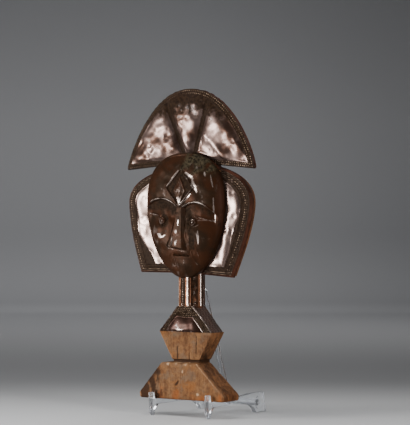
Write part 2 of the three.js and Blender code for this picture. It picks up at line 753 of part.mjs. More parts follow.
// One rail with its post, hook and boss, its outside turned to the given side
function rail(side) {
  const middle = (side * RAIL_SPACING) / 2;
  const toe = -FOOT_DEPTH / 2 - HOOK_CLEARANCE - HOOK_THICKNESS;
  const bossY = toe + EASEL_LENGTH - HEEL_SLOPE - BOSS_RADIUS - 3;
  const bossZ = HEEL_HEIGHT / 2;
  const plate = new THREE.ExtrudeGeometry(railOutline(), {
    depth: RAIL_WIDTH,
    bevelEnabled: false,
    curveSegments: 8,
  });
  plate.rotateX(Math.PI / 2).rotateZ(Math.PI / 2).translate(middle - RAIL_WIDTH / 2, 0, 0);
  const face = middle + side * (RAIL_WIDTH / 2 + BOSS_PROUD);
  const deep = face - side * BOSS_HOLE_DEPTH;
  const order = (a, b) => [Math.min(a, b), Math.max(a, b)];
  const toeBall = new THREE.CylinderGeometry(TOE_RADIUS, TOE_RADIUS * 0.7, TOE_RADIUS * 2, 16);
  toeBall.rotateX(Math.PI / 2).translate(middle, toe + TOE_RADIUS, TOE_RADIUS);
  const hook = box(
    [middle - HOOK_WIDTH / 2, toe, RAIL_HEIGHT + PLAY],
    [middle + HOOK_WIDTH / 2, toe + HOOK_THICKNESS - 1, RAIL_HEIGHT + HOOK_HEIGHT - 1],
  );
  const whole = join([
    solid(plate),
    alongX(BOSS_RADIUS, ...order(middle, face), bossY, bossZ, 32),
    solid(toeBall),
    hook,
  ]);
  const hole = alongX(BOSS_HOLE, ...order(deep, face + side), bossY, bossZ, 20);
  return { whole, hole, bossY, bossZ };
}

// The upright arch, two leaning bars that meet behind the neck
function arch() {
  const foot = RAIL_SPACING / 2 + RAIL_WIDTH / 2;
  const start = RAIL_HEIGHT - RAIL_DEPTH + 1;
  const crown = 8;
  const lean = (foot - crown) / (ARCH_HEIGHT - crown - start);
  const across = ARCH_BAR * Math.hypot(1, lean);
  const outline = new THREE.Shape();
  outline.moveTo(-foot, start);
  outline.lineTo(-crown, ARCH_HEIGHT - crown);
  outline.absarc(0, ARCH_HEIGHT - crown, crown, Math.PI, 0, true);
  outline.lineTo(foot, start);
  outline.lineTo(foot - across, start);
  outline.lineTo(0, start + (foot - across) / lean);
  outline.lineTo(-foot + across, start);
  const y = FOOT_DEPTH / 2 + ARCH_CLEARANCE;
  const plate = new THREE.ExtrudeGeometry(outline, {
    depth: ARCH_THICKNESS,
    bevelEnabled: false,
    curveSegments: 10,
  });
  return solid(plate.rotateX(Math.PI / 2).translate(0, y + ARCH_THICKNESS, 0));
}

// The clear easel, moulded in one piece. Its heights are measured from the floor.
function easel() {
  const [left, right] = [rail(-1), rail(1)];
  const inside = RAIL_SPACING / 2;
  const bar = alongX(BAR_RADIUS, -inside, inside, left.bossY, left.bossZ, 24);
  return cut(join([left.whole, right.whole, arch(), bar]), [left.hole, right.hole]);
}

// The colours of the pieces
const LOOKS = {
  wood: { color: 0x7a5235, roughness: 0.75, metalness: 0 },
  copper: { color: 0x6d4636, roughness: 0.35, metalness: 0.9 },
  clear: { color: 0xe6edf2, roughness: 0.08, metalness: 0, transparent: true, opacity: 0.35 },
};

function piece(name, look, whole) {
  const { vertProperties, triVerts } = whole.getMesh();
  const geometry = new THREE.BufferGeometry();
  geometry.setAttribute("position", new THREE.Float32BufferAttribute(vertProperties, 3));
  geometry.setIndex(Array.from(triVerts));
  const flat = geometry.toNonIndexed();
  flat.computeVertexNormals();
  const mesh = new THREE.Mesh(flat, new THREE.MeshStandardMaterial(LOOKS[look]));
  mesh.name = name;
  return mesh;
}

const figure = new THREE.Group();
figure.position.z = RAIL_HEIGHT;
figure.add(
  piece("wooden_figure", "wood", woodenFigure()),
  piece("crest_sheet", "copper", crestSheet()),
  piece("left_wing_sheet", "copper", wingSheet(-1)),
  piece("right_wing_sheet", "copper", wingSheet(1)),
  piece("face_sheet", "copper", faceSheet()),
  piece("neck_sheet", "copper", neckSheet()),
  piece("shoulder_sheet", "copper", shoulderSheet()),
);

// The figure stands in front of the middle, because the easel runs on behind it
const reliquary = new THREE.Group();
const easelFront = FOOT_DEPTH / 2 + HOOK_CLEARANCE + HOOK_THICKNESS;
const foremost = Math.max(easelFront, noseTip());
reliquary.position.y = (foremost + easelFront - EASEL_LENGTH) / 2;
reliquary.add(figure, piece("clear_easel", "clear", easel()));

export default reliquary;
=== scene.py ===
"""A kota reliquary figure in hammered copper sheet over carved wood, on a clear easel.

Every shape is worked out in the figure's own measure: millimetres to the viewer's right of the foot's
middle, millimetres forward of it, and millimetres above the foot's underside. The function placed() brings
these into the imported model's frame, in metres.
"""

import math

import bmesh
import bpy
import numpy as np
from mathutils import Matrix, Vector


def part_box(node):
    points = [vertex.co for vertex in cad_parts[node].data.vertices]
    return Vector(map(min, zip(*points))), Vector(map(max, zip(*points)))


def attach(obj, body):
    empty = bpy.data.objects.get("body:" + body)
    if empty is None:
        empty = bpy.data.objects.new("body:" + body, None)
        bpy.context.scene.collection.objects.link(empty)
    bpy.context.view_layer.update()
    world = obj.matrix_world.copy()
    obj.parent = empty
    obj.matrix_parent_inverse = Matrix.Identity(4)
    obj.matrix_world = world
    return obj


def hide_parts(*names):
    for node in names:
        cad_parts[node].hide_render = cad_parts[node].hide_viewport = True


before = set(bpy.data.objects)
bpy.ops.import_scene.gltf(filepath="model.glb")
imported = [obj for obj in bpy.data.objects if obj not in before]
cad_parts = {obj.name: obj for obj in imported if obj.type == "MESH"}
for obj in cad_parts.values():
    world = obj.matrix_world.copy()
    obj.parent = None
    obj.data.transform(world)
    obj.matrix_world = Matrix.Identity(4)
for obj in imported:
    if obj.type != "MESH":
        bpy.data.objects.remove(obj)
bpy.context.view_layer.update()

# A millimetre and the welding distance in metres, the waves in a sum, and the wood's section spacing
MM = 0.001
WELD = 2e-6
WAVE_COUNT = 10
SECTION_STEP = 1.1

# The foot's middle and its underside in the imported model's frame
EASEL_FRONT = 29
FIGURE_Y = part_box("clear_easel")[0][1] / MM + EASEL_FRONT
FIGURE_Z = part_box("wooden_figure")[0][2] / MM

# The copper and what lies under it
SHEET = 1.2
PLAY = 0.3
TURN_OVER = 8
LINING = SHEET + PLAY

# Levels of the figure
FOOT_HEIGHT = 54.5
WAIST_LEVEL = 59.5
WIDEST_LEVEL = 100.5
SHOULDER_TOP = 139
CHIN_LEVEL = 180
HEAD_LEVEL = 292
CREST_LEVEL = 346
CREST_ROOT = 352

# The foot and the lozenge
FOOT_WIDTH, FOOT_DEPTH, FOOT_RIM, FOOT_SHIFT = 154, 42, 9, -1.5
FOOT_TOP_WIDTH, FOOT_TOP_DEPTH, FOOT_TOP_SHIFT = 66, 37, -6.5
LOZENGE_WIDTH, LOZENGE_DEPTH, LOZENGE_FOOT_WIDTH = 98, 31, 51
SHOULDER_TOP_WIDTH, SHOULDER_BULGE, SHOULDER_BAND = 31, 5, 13
SET_BACK = 5

# The neck
NECK_RADIUS, NECK_LOBES, NECK_OPEN_ANGLE = 20.6, 6, 60
RIB_TURN, RIB_HALF, RIB_DEPTH = -12, 5.2, 1.7
BEAD_PITCH = 2.6

# The head
HEAD_WIDTH, HEAD_RISE, HEAD_DROP = 138, 75, 112
HEAD_RIM, HEAD_BULGE, MEAN_REACH = 4, 18.5, 60
CROWN_POWER, JAW_POWER, BULGE_POWER = 2.4, 1.9, 2.45

# The face: places are (x, up) from the head's widest level, diamonds (half width, half height, middle)
FACE_MIDDLE = 1
EYES = (-31.6, -25.6), (23.6, -28.2)
DIAMOND = 24.8, 28.5, 23.2
BRIGHT_DIAMOND = 10.6, 20.5, 18

# Strokes on the face: (x, up) at the start, (x, up) at the end, width. The lids and chin folds are raised;
# the others are painted highlights and painted sheen
LIDS = (
    (-60, -15, -40, -18, 1.2), (-40, -18, -33, -33.5, 0.8), (33, -21, 62, -28.5, 1.0),
    (30, -25, 59, -25, 0.9), (13, -31, 24, -36, 0.8), (24, -36, 36, -31, 0.8),
)
CHIN_FOLDS = (
    (-7, -85, -5, -105, 0.9), (19, -70, 22, -82, 0.9), (22, -82, 30, -95, 0.9), (-17, -72, -20, -86, 0.9),
    (6, -85, 6.5, -104, 0.7), (27, -60, 34, -88, 0.7),
)
# Painted highlights: bright metal where light catches the diamond's edges, the forehead, the cheeks, the nose
# and the face's right edge
PAINTED_HIGHLIGHTS = (
    (-23, 25, -4, 48.5, 1.9), (9, 45, 23, 36, 3.0), (21, 36, 31, 16, 2.6), (21, 14, 2, -2.5, 0.9),
    (-40, -46, -34, -50, 3.0), (-35, -51, -26, -47, 1.5), (33, -41, 33, -60, 1.6), (-11, -50, -15, -62, 2.4),
    (58, 8, 58.5, -28, 1.1), (27, 55, 29, 49, 1.8), (41, 46, 43, 40, 1.6), (17, 63, 16, 57, 1.4),
    (0, -24, -1, -33, 0.8), (51, 42, 56, 24, 1.0),
)
# Painted sheen: soft brighter patches on the forehead, the cheeks, the nose and the chin
PAINTED_SHEEN = (
    (-34, 22, -26, 12, 6), (-48, -34, -42, -62, 7), (-3, -40, -6, -64, 4), (24, 4, 40, 2, 6),
    (-12, -84, -8, -104, 6), (34, 30, 40, 8, 5),
)
# A painted highlight along the nose's base
NOSE_BASE_HIGHLIGHT = (-21, -66.8, -2, -69.5, 0.8), (-2, -69.5, 17, -73.3, 0.8)

# The wings
WING_SPAN, WING_DROP, WING_TOP = 226, 104, 55.8
LEFT_RISE, RIGHT_RISE = 54, 60
WING_BACK, WING_PLANE, WING_POWER, WING_TAPER_POWER = 11, 6, 2.2, 1.6
LEFT_TAPER, RIGHT_TAPER, RIGHT_TIP_DROP = 23.5, 34.5, 5.5
WING_BAND, WING_LOWER_BAND, WING_BEVEL, WING_WORN_EDGE = 16.3, 12, 5.8, 3.3

# The crest
CREST_SPAN, CREST_RISE, CREST_PLANE, CREST_BACK = 231, 117, 3, 10
CREST_ACROSS_POWER, CREST_LEFT_POWER, CREST_RIGHT_POWER, CREST_TIP_DROP = 2.15, 1.2, 1.3, 12
CREST_UNDERSIDE, CREST_BAND, CREST_BEVEL, CREST_PILLOW = 95.1, 8, 2.6, 4
GROOVE_START, GROOVE_ANGLE, GROOVE_WIDTH = 12, 16, 8

# How fine the sheets' nets are: stations, and points across the front
FACE_NET, CREST_NET, WING_NET = (92, 440), (331, 84), (150, 72)
NECK_NET, SHOULDER_NET = (130, 480), (78, 139)

# The finishes' masks, each from 0 to 1 at every point
COPPER_MASKS = "band", "shine", "dark", "crust", "rim"
WOOD_MASKS = "worn", "aged", "side", "grime", "pale", "orange"


# Numbers and shapes


def placed(x, forward, z):
    """The part's own metres from the figure's millimetres: (x, middle - forward, underside + z)."""
    x, forward, z = np.broadcast_arrays(x, forward, z)
    return np.stack([x, FIGURE_Y - forward, FIGURE_Z + z], axis=-1) * MM


def rise(low, high, value):
    """A smooth step: 0 up to low, 1 from high on, and 3t^2 - 2t^3 between them."""
    t = np.clip((value - low) / (high - low), 0, 1)
    return t * t * (3 - 2 * t)


def line(distance, width):
    """A rounded ridge across a distance: the bell curve exp(-(distance / width)^2)."""
    return np.exp(-((distance / width) ** 2))


def swollen(distance, softness):
    """How far a surface has swollen at a distance from its border: 1 - exp(-distance / softness)."""
    return 1 - np.exp(-np.maximum(distance, 0) / softness)


def waves(x, z, size, seed):
    """Slow unevenness between about -1 and 1: a mean of plane waves of nearly one length, from all sides."""
    dice = np.random.default_rng(seed)
    total = np.zeros(np.broadcast(x, z).shape)
    for _ in range(WAVE_COUNT):
        turn, start = dice.uniform(0, 2 * np.pi, 2)
        pace = 2 * np.pi / (size * dice.uniform(0.7, 1.5))
        total += np.sin(pace * (x * np.cos(turn) + z * np.sin(turn)) + start)
    return total / math.sqrt(WAVE_COUNT / 2)


def dents(x, z, size, seed, spread, count):
    """Hammer blows: round hollows at seeded places, each one a bell curve, the deepest at each point kept."""
    dice = np.random.default_rng(seed)
    (left, right), (low, high) = spread
    total = np.zeros(np.broadcast(x, z).shape)
    for _ in range(count):
        at_x, at_z = dice.uniform(left, right), dice.uniform(low, high)
        width = size * dice.uniform(0.6, 1.4)
        blow = dice.uniform(0.4, 1) * np.exp(-(((x - at_x) / width) ** 2 + ((z - at_z) / width) ** 2))
        total = np.maximum(total, blow)
    return -total


def strokes(x, up, pieces):
    """Soft strokes along straight pieces, widest halfway: the strongest bell curve across one of them."""
    total = np.zeros_like(x)
    for start_x, start_up, end_x, end_up, width in pieces:
        along_x, along_up = end_x - start_x, end_up - start_up
        share = ((x - start_x) * along_x + (up - start_up) * along_up) / (along_x**2 + along_up**2)
        share = np.clip(share, 0, 1)
        away = np.hypot(x - start_x - share * along_x, up - start_up - share * along_up)
        total = np.maximum(total, line(away, width * (0.45 + 0.55 * np.sin(np.pi * share))))
    return total


def halved(near, far, beyond):
    """The last place from near to far that isn't beyond a border, found by halving the stretch 40 times."""
    for _ in range(40):
        middle = (near + far) / 2
        past = beyond(middle)
        near, far = np.where(past, near, middle), np.where(past, middle, far)
    return near


def masks(names, like, **given):
    """A finish's masks at each point, held between 0 and 1: those given, and none of the others."""
    return {name: np.clip(given.get(name, 0), 0, 1) + 0 * like for name in names}


def copper_marks(like, along, across, **given):
    """The copper's masks, and each point's place along and across its band for the punched rows."""
    return {**masks(COPPER_MASKS, like, **given), "along": along + 0 * like, "across": across + 0 * like}


def padded(marks, rows, columns):
    """Marks with empty rows and columns after them, for the hidden part of a closed section."""
    return {key: np.pad(value, ((0, rows), (0, columns))) for key, value in marks.items()}


def lofted(sections, marks, open_ends=False):
    """Faces over closed sections: stations along the first axis, points round a section along the second."""
    stations, size = sections.shape[:2]
    index = np.arange(stations * size).reshape(stations, size)
    following = np.roll(index, -1, axis=1)
    quads = np.stack([index[:-1], following[:-1], following[1:], index[1:]], axis=-1).reshape(-1, 4)
    ends = [] if open_ends else [index[0][::-1].tolist(), index[-1].tolist()]
    return sections.reshape(-1, 3), quads.tolist() + ends, {
        key: np.broadcast_to(value, (stations, size)).ravel() for key, value in marks.items()
    }


def closed_sheet(marks, *parts, rim=0, **all_round):
    """A sheet from its sections' parts (x, forward, z): the front, which has the marks, then the rest."""
    points = np.concatenate([placed(*part) for part in parts], 1)
    seen = marks["rim"].shape[1]
    marks = padded(marks, 0, points.shape[1] - seen)
    marks["rim"][:, seen:] = rim
    return lofted(points, {**marks, **all_round})


def joined(shapes):
    """Several shapes as one list of points, faces and marks."""
    points, faces, marks = [], [], {}
    for shape_points, shape_faces, shape_marks in shapes:
        start = sum(len(p) for p in points)
        points.append(shape_points)
        faces += [[start + corner for corner in face] for face in shape_faces]
        for key, value in shape_marks.items():
            marks.setdefault(key, []).append(value)
    return np.concatenate(points), faces, {key: np.concatenate(value) for key, value in marks.items()}


def made(name, shape, material, replaced, sharp=38):
    """A closed, outward mesh from a shape, riding on the root body in place of a node."""
    points, faces, marks = shape
    mesh = bpy.data.meshes.new(name)
    mesh.from_pydata(points.tolist(), [], faces)
    for key, value in marks.items():
        mesh.attributes.new(key, "FLOAT", "POINT").data.foreach_set("value", value.astype(np.float32))
    work = bmesh.new()
    work.from_mesh(mesh)
    bmesh.ops.remove_doubles(work, verts=work.verts, dist=WELD)
    bmesh.ops.recalc_face_normals(work, faces=work.faces)
    work.to_mesh(mesh)
    work.free()
    mesh.shade_smooth()
    mesh.set_sharp_from_angle(angle=math.radians(sharp))
    mesh.materials.append(material)
    piece = bpy.data.objects.new(name, mesh)
    bpy.context.scene.collection.objects.link(piece)
    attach(piece, "root")
    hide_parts(replaced)


# The forms that the copper and the wood share


def head_form(up, inset):
    """The head's half width a, its reach b and its power n, above or below its widest level."""
    above = up > 0
    reach = np.where(above, HEAD_RISE, HEAD_DROP) - inset
    return HEAD_WIDTH / 2 - inset, reach, np.where(above, CROWN_POWER, JAW_POWER)


def head_share(x, z, inset=0.0):
    """How far out a point of the head lies, 0 to 1 on the outline: (|x/a|^n + |rise/b|^n)^(1/n)."""
    up = z - HEAD_LEVEL
    half, reach, power = head_form(up, inset)
    return (np.abs(x / half) ** power + np.abs(up / reach) ** power) ** (1 / power)


def outside_head(x, z):
    """About how many millimetres a point lies outside the head's outline."""
    return (head_share(x, z) - 1) * MEAN_REACH


def head_half(z):
    """The half width of the head's oval at a level, less the sheet that laps under the face."""
    up = z - HEAD_LEVEL
    half, reach, power = head_form(up, SHEET)
    return half * np.maximum(0, 1 - np.abs(up / reach) ** power) ** (1 / power)


def head_swell(share):
    """The roundness of the face: bulge * (1 - share^n)^(1/n)."""
    return HEAD_BULGE * (1 - np.minimum(1, share) ** BULGE_POWER) ** (1 / BULGE_POWER)


def head_net(inset, shares, turns):
    """Points (x, z) of the head's oval: each turn's place on the outline, drawn in by shares of its reach."""
    turn, share = turns[None, :], shares[:, None]
    half, reach, _ = head_form(np.cos(turn), inset)
    x, z = half * np.sin(turn), reach * np.cos(turn)
    scale = share / head_share(x, HEAD_LEVEL + z, inset)
    return x * scale, HEAD_LEVEL + z * scale


def wing_edge(side, z):
    """The wings' half width: a power curve above the head's widest level, a widening taper below it."""
    reach = LEFT_RISE if side < 0 else RIGHT_RISE
    up = np.minimum(z - HEAD_LEVEL, 0.97 * reach)
    above = WING_SPAN / 2 * (1 - (np.maximum(up, 0) / reach) ** WING_POWER) ** (1 / WING_POWER)
    taper = LEFT_TAPER if side < 0 else RIGHT_TAPER
    below = WING_SPAN / 2 - taper * (np.maximum(-up, 0) / WING_DROP) ** WING_TAPER_POWER
    return np.where(up > 0, above, below)


def wing_lean(side, z):
    """How much wider a band along the wing's edge is when it is measured level."""
    return np.hypot(1, (wing_edge(side, z + 1) - wing_edge(side, z - 1)) / 2)


def fan_start(turn):
    """How far from the middle a ray of the crest's fan starts: the rays spread apart between the grooves."""
    return GROOVE_START * np.clip(turn / math.radians(GROOVE_ANGLE), -1, 1)


def crest_reach(turn, start, inset=0.0):
    """How far a ray reaches from its start to the crest's rim, where (x/a)^m + (h/b)^n = 1."""
    power = np.where(turn < 0, CREST_LEFT_POWER, CREST_RIGHT_POWER)

    def outside(reach):
        x = np.abs(start + reach * np.sin(turn)) / (CREST_SPAN / 2 - inset)
        up = CREST_ROOT + inset + reach * np.cos(turn) - CREST_LEVEL
        below = x**3 + np.abs(np.minimum(up, 0) / CREST_TIP_DROP) ** 3
        above = x**CREST_ACROSS_POWER + (np.maximum(up, 0) / (CREST_RISE - inset)) ** power
        return np.where(up < 0, below, above) > 1

    return halved(np.zeros_like(turn), np.full_like(turn, CREST_SPAN), outside)


def shoulder_half(z):
    """The shoulder's half width, which narrows evenly from the lozenge's widest level to the neck."""
    share = (z - WIDEST_LEVEL) / (SHOULDER_TOP - WIDEST_LEVEL)
    return (LOZENGE_WIDTH + (SHOULDER_TOP_WIDTH - LOZENGE_WIDTH) * share) / 2


# Copper


def brow_level(x, side):
    """The brow arcs, a low parabola on each side: peak - k (x - middle)^2, above the head's widest level."""
    middle, peak, inner, outer = (-34, 7.3, 0.0128, 0.0098) if side < 0 else (27, 1.2, 0.0152, 0.0148)
    within = (x - middle) * side < 0
    return peak - np.where(within, inner, outer) * (x - middle) ** 2


def diamond_distance(x, up, width, height, middle):
    """How far inside a diamond a point lies, square to its sides: (1 - |x/a| - |up/b|) / lean."""
    lean = math.hypot(1 / width, 1 / height)
    return (1 - np.abs(x - FACE_MIDDLE) / width - np.abs(up - middle) / height) / lean


def nose_height(x, up):
    """The wedge of the nose above the plain oval: a flat bridge that widens and rises towards a blunt tip."""
    share = np.clip((-5 - up) / 61, 0, 1.08)
    crown = 5.2 + 4.3 * share
    foot = crown + 2.5 + 8.5 * share**2
    away = np.abs(x - (FACE_MIDDLE - 4 * share))
    flare = 3.2 * rise(0.72, 0.92, share)
    across = rise(foot + flare, crown - 1.5, away)
    proud = 0.4 + 3.6 * share
    base_slope = -0.16 * (x - FACE_MIDDLE)
    ends = rise(-69.5 + base_slope, -66.5 + base_slope, up) * rise(2, -6, up)
    return (proud + 4.5) * across * ends


def eye_boss(away):
    """A round boss with a ring, by the distance from its middle: a small dome, a ridge and a groove."""
    return 2.9 * line(away, 2.1) + 1.9 * line(away - 4.2, 0.95) - 0.8 * line(away - 7, 1.4)


def face_relief(x, z):
    """What is worked into the face, in millimetres forward of the plain oval, and its masks."""
    up = z - HEAD_LEVEL
    hollow, arcs, under = np.zeros_like(x), np.zeros_like(x), np.zeros_like(x)
    for side in (-1, 1):
        here = (x - 1.5) * side > 0
        below = brow_level(x, side) - up
        reach = np.abs(x) / (HEAD_WIDTH / 2)
        depth = rise(-0.4, 2.8, below) * rise(47, 10, below) * rise(0.97, 0.8, reach)
        hollow = np.where(here, 4.4 * depth, hollow)
        # under: painted shade in a band below each brow
        under = np.where(here, rise(0.5, 3, below) * rise(26, 9, below), under)
        length = rise(0.9, 0.78, reach) * rise(2.5, 6, np.abs(x - 1.5))
        arcs = np.where(here, line(below, 1.15) * length, arcs)
    nose = nose_height(x, up)
    level = 1.5 * arcs - hollow - 0.045 * np.maximum(up - 8, 0)
    level = np.where(nose > 0, np.maximum(level, nose - 4.5), level)

    left_cheek = line(np.hypot((x + 36) / 17, (up + 50) / 20), 1)
    right_cheek = line(np.hypot((x - 33) / 16, (up + 50) / 22), 1)
    level += 1.6 * (left_cheek + right_cheek) * (nose <= 0.2)

    left_eye, right_eye = (np.hypot(x - at_x, up - at_up) for at_x, at_up in EYES)
    eyes = eye_boss(left_eye) + eye_boss(right_eye)
    lids, chin = strokes(x, up, LIDS), strokes(x, up, CHIN_FOLDS)
    slit = line(up + 77 + 0.05 * x, 1.0) * rise(-13, -11, x) * rise(17.5, 15, x)
    level += eyes + 0.8 * lids - 2.0 * slit + 0.5 * chin

    inside = diamond_distance(x, up, *DIAMOND)
    inner = diamond_distance(x, up, *BRIGHT_DIAMOND)
    band = rise(0.6, 2.4, inside) * rise(0.4, -1.4, inner)
    level += 1.3 * rise(-0.6, 1.2, inside) - 0.9 * band + 1.4 * line(inside - 0.4, 0.9)
    level += 0.6 * line(inner, 1.0) + 1.0 * rise(0, 6, inner)
    level += 0.45 * dents(x, up, 3.6, 5, ((-12, 14), (0, 38)), 22) * rise(0, 3, inner)

    spread = ((-69, 69), (-112, 75))
    smooth_part = 1 - np.clip(arcs + lids + rise(-2, 0, inside) + 0.8 * rise(0, 2, nose), 0, 1)
    level += smooth_part * (0.6 * dents(x, up, 6, 21, spread, 170) + 0.35 * waves(x, up, 24, 3))

    patch = np.minimum(np.minimum((up - 42) / 9, (x + 2) / 9), (72 - x) / 10)
    crust = rise(-1.2, 2.2, patch + 0.9 * waves(x, up, 15, 9)) * rise(36, 50, up) * rise(-10, 6, x)
    level += crust * (0.2 + 0.25 * waves(x, up, 4.2, 12))

    # The shine mask: the brow arcs, lids, chin folds, eye bosses and the diamond's outline are worn bright;
    # the listed strokes, the nose's base line, the soft sheen and the inner diamond, brighter lower down, are
    # painted highlights
    shine = 0.75 * arcs * rise(62, 40, x) + 0.6 * lids + 0.25 * chin + 1.1 * strokes(x, up, PAINTED_HIGHLIGHTS)
    shine += (0.22 + 0.45 * rise(16, 4, up)) * rise(-0.5, 1.5, inner) + 0.5 * rise(0.8, 2, eyes)
    shine += 0.35 * line(inside - 0.4, 0.9) + 0.42 * strokes(x, up, NOSE_BASE_HIGHLIGHT)
    shine += 0.3 * strokes(x, up, PAINTED_SHEEN)
    # Painted shade in the dark mask: in the eye sockets, under the brows, in the mouth's slit, on the nose's
    # right side and along the left foot of the nose; the diamond's band is its own dark patina
    socket_shade = line(left_eye - 7.5, 3.2) * rise(-38, -28, x) + 0.6 * line(right_eye - 8, 2.6)
    beside = x - 9 * rise(0, -60, up)
    nose_shade = rise(7, 10, beside) * rise(19, 15, beside) * rise(-72, -66, up) * rise(-4, -14, up)
    dark = 0.75 * band + slit + 0.42 * under + 0.8 * np.clip(socket_shade, 0, 1) + 0.95 * nose_shade
    dark += 0.7 * line(nose - 0.8, 0.7) * (x < 0)
    return level, masks(COPPER_MASKS, x, shine=shine, dark=dark, crust=crust, rim=0.5 * rise(56, 68, x))


def face_sheet_shape():
    """The face: nets over the head's oval, from its middle to the rim, back over the edge and in again."""
    turns = np.linspace(0, 2 * np.pi, FACE_NET[1] + 1)[:-1]
    outer = 0.86 + 0.14 * np.sin(np.linspace(0.06, np.pi / 2, 26))
    shares = np.concatenate([np.linspace(0, 0.86, FACE_NET[0]), outer])
    edge = WING_PLANE + HEAD_RIM
    x, z = head_net(0, shares, turns)
    relief, marks = face_relief(x, z)
    front = edge + head_swell(shares)[:, None] + relief * (1 - rise(0.93, 1.0, shares)[:, None])
    rim_x, rim_z = head_net(0, np.ones(4), turns)
    rim = np.linspace(edge - 0.8, WING_PLANE + PLAY, 4)[:, None] + 0 * rim_x
    inner = np.sin(np.linspace(np.pi / 2, 0, 14))
    back_x, back_z = head_net(SHEET, inner, turns)
    hollow = head_swell(inner)[:, None] * 0.97 - 5.6 * (1 - inner[:, None] ** 6)
    back = edge - SHEET + hollow + 0 * back_x
    back[0] = WING_PLANE + PLAY
    all_x, all_z = np.concatenate([x, rim_x, back_x]), np.concatenate([z, rim_z, back_z])
    marks = {**padded(marks, len(all_x) - len(x), 0), "along": all_x, "across": all_z}
    return lofted(placed(all_x, np.concatenate([front, rim, back]), all_z), marks, open_ends=True)


def groove_place(x, z):
    """How far from the middle the crest's two grooves run: the left one leans out more than the right one."""
    up = z - CREST_ROOT
    return np.where(x < 0, 2.2 + 0.42 * up, 6.5 + 0.31 * up)


def crest_face(x, z):
    """The crest's front: a bevelled border and three pillows between two grooves, with hammer marks."""
    up = z - CREST_ROOT
    turn = np.arctan2(x, up)
    slope = math.radians(CREST_UNDERSIDE - 90)
    from_rim = crest_reach(turn, 0) - np.hypot(x, up)
    from_underside = up * math.cos(slope) + np.maximum(0, np.abs(x) - GROOVE_START) * math.sin(slope)
    from_edge = np.maximum(0, np.minimum(from_rim, from_underside))
    groove = np.abs(np.abs(x) - groove_place(x, z)) * math.cos(math.radians(GROOVE_ANGLE))
    from_groove = groove - GROOVE_WIDTH / 2
    head = outside_head(x, z)
    bevel = CREST_BEVEL * (1 - np.clip(from_edge / CREST_BAND, 0, 1))
    border = rise(CREST_BAND + 1.5, CREST_BAND - 1.5, from_edge)
    pillow = (CREST_PILLOW + 0.9) * swollen(from_rim - CREST_BAND, 9)
    pillow *= swollen(from_underside - CREST_BAND, 5) * swollen(from_groove, 4) * swollen(head + 3, 6)
    channel = rise(1, -1.5, from_groove) * rise(CREST_BAND - 2, CREST_BAND + 3, from_edge)
    inside = rise(0, 5, np.minimum(np.minimum(from_edge - CREST_BAND, from_groove), head))
    spread = ((-114, 114), (342, 464))
    blows = 0.95 * dents(x, z, 5.2, 41, spread, 75) + 0.45 * dents(x, z, 3.0, 43, spread, 60)
    blows += 0.7 * waves(x, z, 38, 45) + 0.12 * waves(x, z, 15, 46)
    level = CREST_PLANE - bevel + pillow + inside * blows - 0.9 * line(groove, 3) * channel
    level += 0.3 * line(from_edge - CREST_BAND - 0.3, 0.9) + 0.5 * line(from_edge - 1.0, 1.0)
    hem = rise(30, 50, x) * line(from_underside - 4.5, 3.2)
    rows = np.maximum(line(from_edge - 2.0, 1.5), 0.9 * line(from_edge - 6.9, 1.1))
    return level, copper_marks(
        x, np.where(from_rim < from_underside, np.abs(turn) * 105, np.hypot(x, up)), from_edge + 1,
        band=np.maximum(rows * (0.25 + 0.75 * rise(-30, 0, x)), hem),
        shine=0.5 * line(from_edge - 0.8, 0.7),
        # Painted shade: the crest darkens towards its top; the grooves and the border are its own dark patina
        dark=0.95 * channel + 0.9 * border + 0.9 * rise(406, 456, z + 0.25 * np.abs(x)),
    )


def crest_sheet_shape():
    """The crest: rays from its root, each a closed section from the head out to the rim and back inside."""
    end = math.radians(CREST_UNDERSIDE)
    turns = np.linspace(-end, end, CREST_NET[0])
    turns = np.concatenate([turns[:1]] * 2 + [turns] + [turns[-1:]] * 2)
    count = len(turns)
    lift = np.zeros(count)
    lift[[1, 2, -2, -3]] = SHEET
    solid = np.zeros(count, bool)
    solid[[0, 1, -1, -2]] = True
    start = fan_start(turns)

    def past_head(reach):
        return head_share(start + reach * np.sin(turns), CREST_ROOT + reach * np.cos(turns), SHEET) >= 1

    near = halved(np.full(count, 1.0), np.full(count, CREST_SPAN / 2), past_head)
    out = crest_reach(turns, start) - np.clip(0.35 + 0.5 * waves(turns * 110, 0 * turns, 8, 47), 0, 0.9)

    def section(shares, inset):
        reach = near[:, None] + (out - inset - near)[:, None] * shares[None, :]
        x = start[:, None] + reach * np.sin(turns)[:, None]
        return x, CREST_ROOT + reach * np.cos(turns)[:, None] + lift[:, None]

    x, z = section(np.concatenate([np.linspace(0, 0.9, CREST_NET[1]), np.linspace(0.9, 1, 16)[1:]]), 0)
    level, marks = crest_face(x, z)
    edge = CREST_PLANE - TURN_OVER
    side_x, side_z = section(np.ones(3), 0)
    side = np.linspace(CREST_PLANE - CREST_BEVEL - 0.4, edge, 3)[None, :]
    back_x, back_z = section(np.linspace(1, 0, 12), SHEET)
    back = np.where(solid[:, None], edge, CREST_PLANE - SHEET - CREST_BEVEL) + 0 * back_x
    back[:, 0] = edge
    return closed_sheet(marks, (x, level, z), (side_x, side, side_z), (back_x, back, back_z), rim=1)


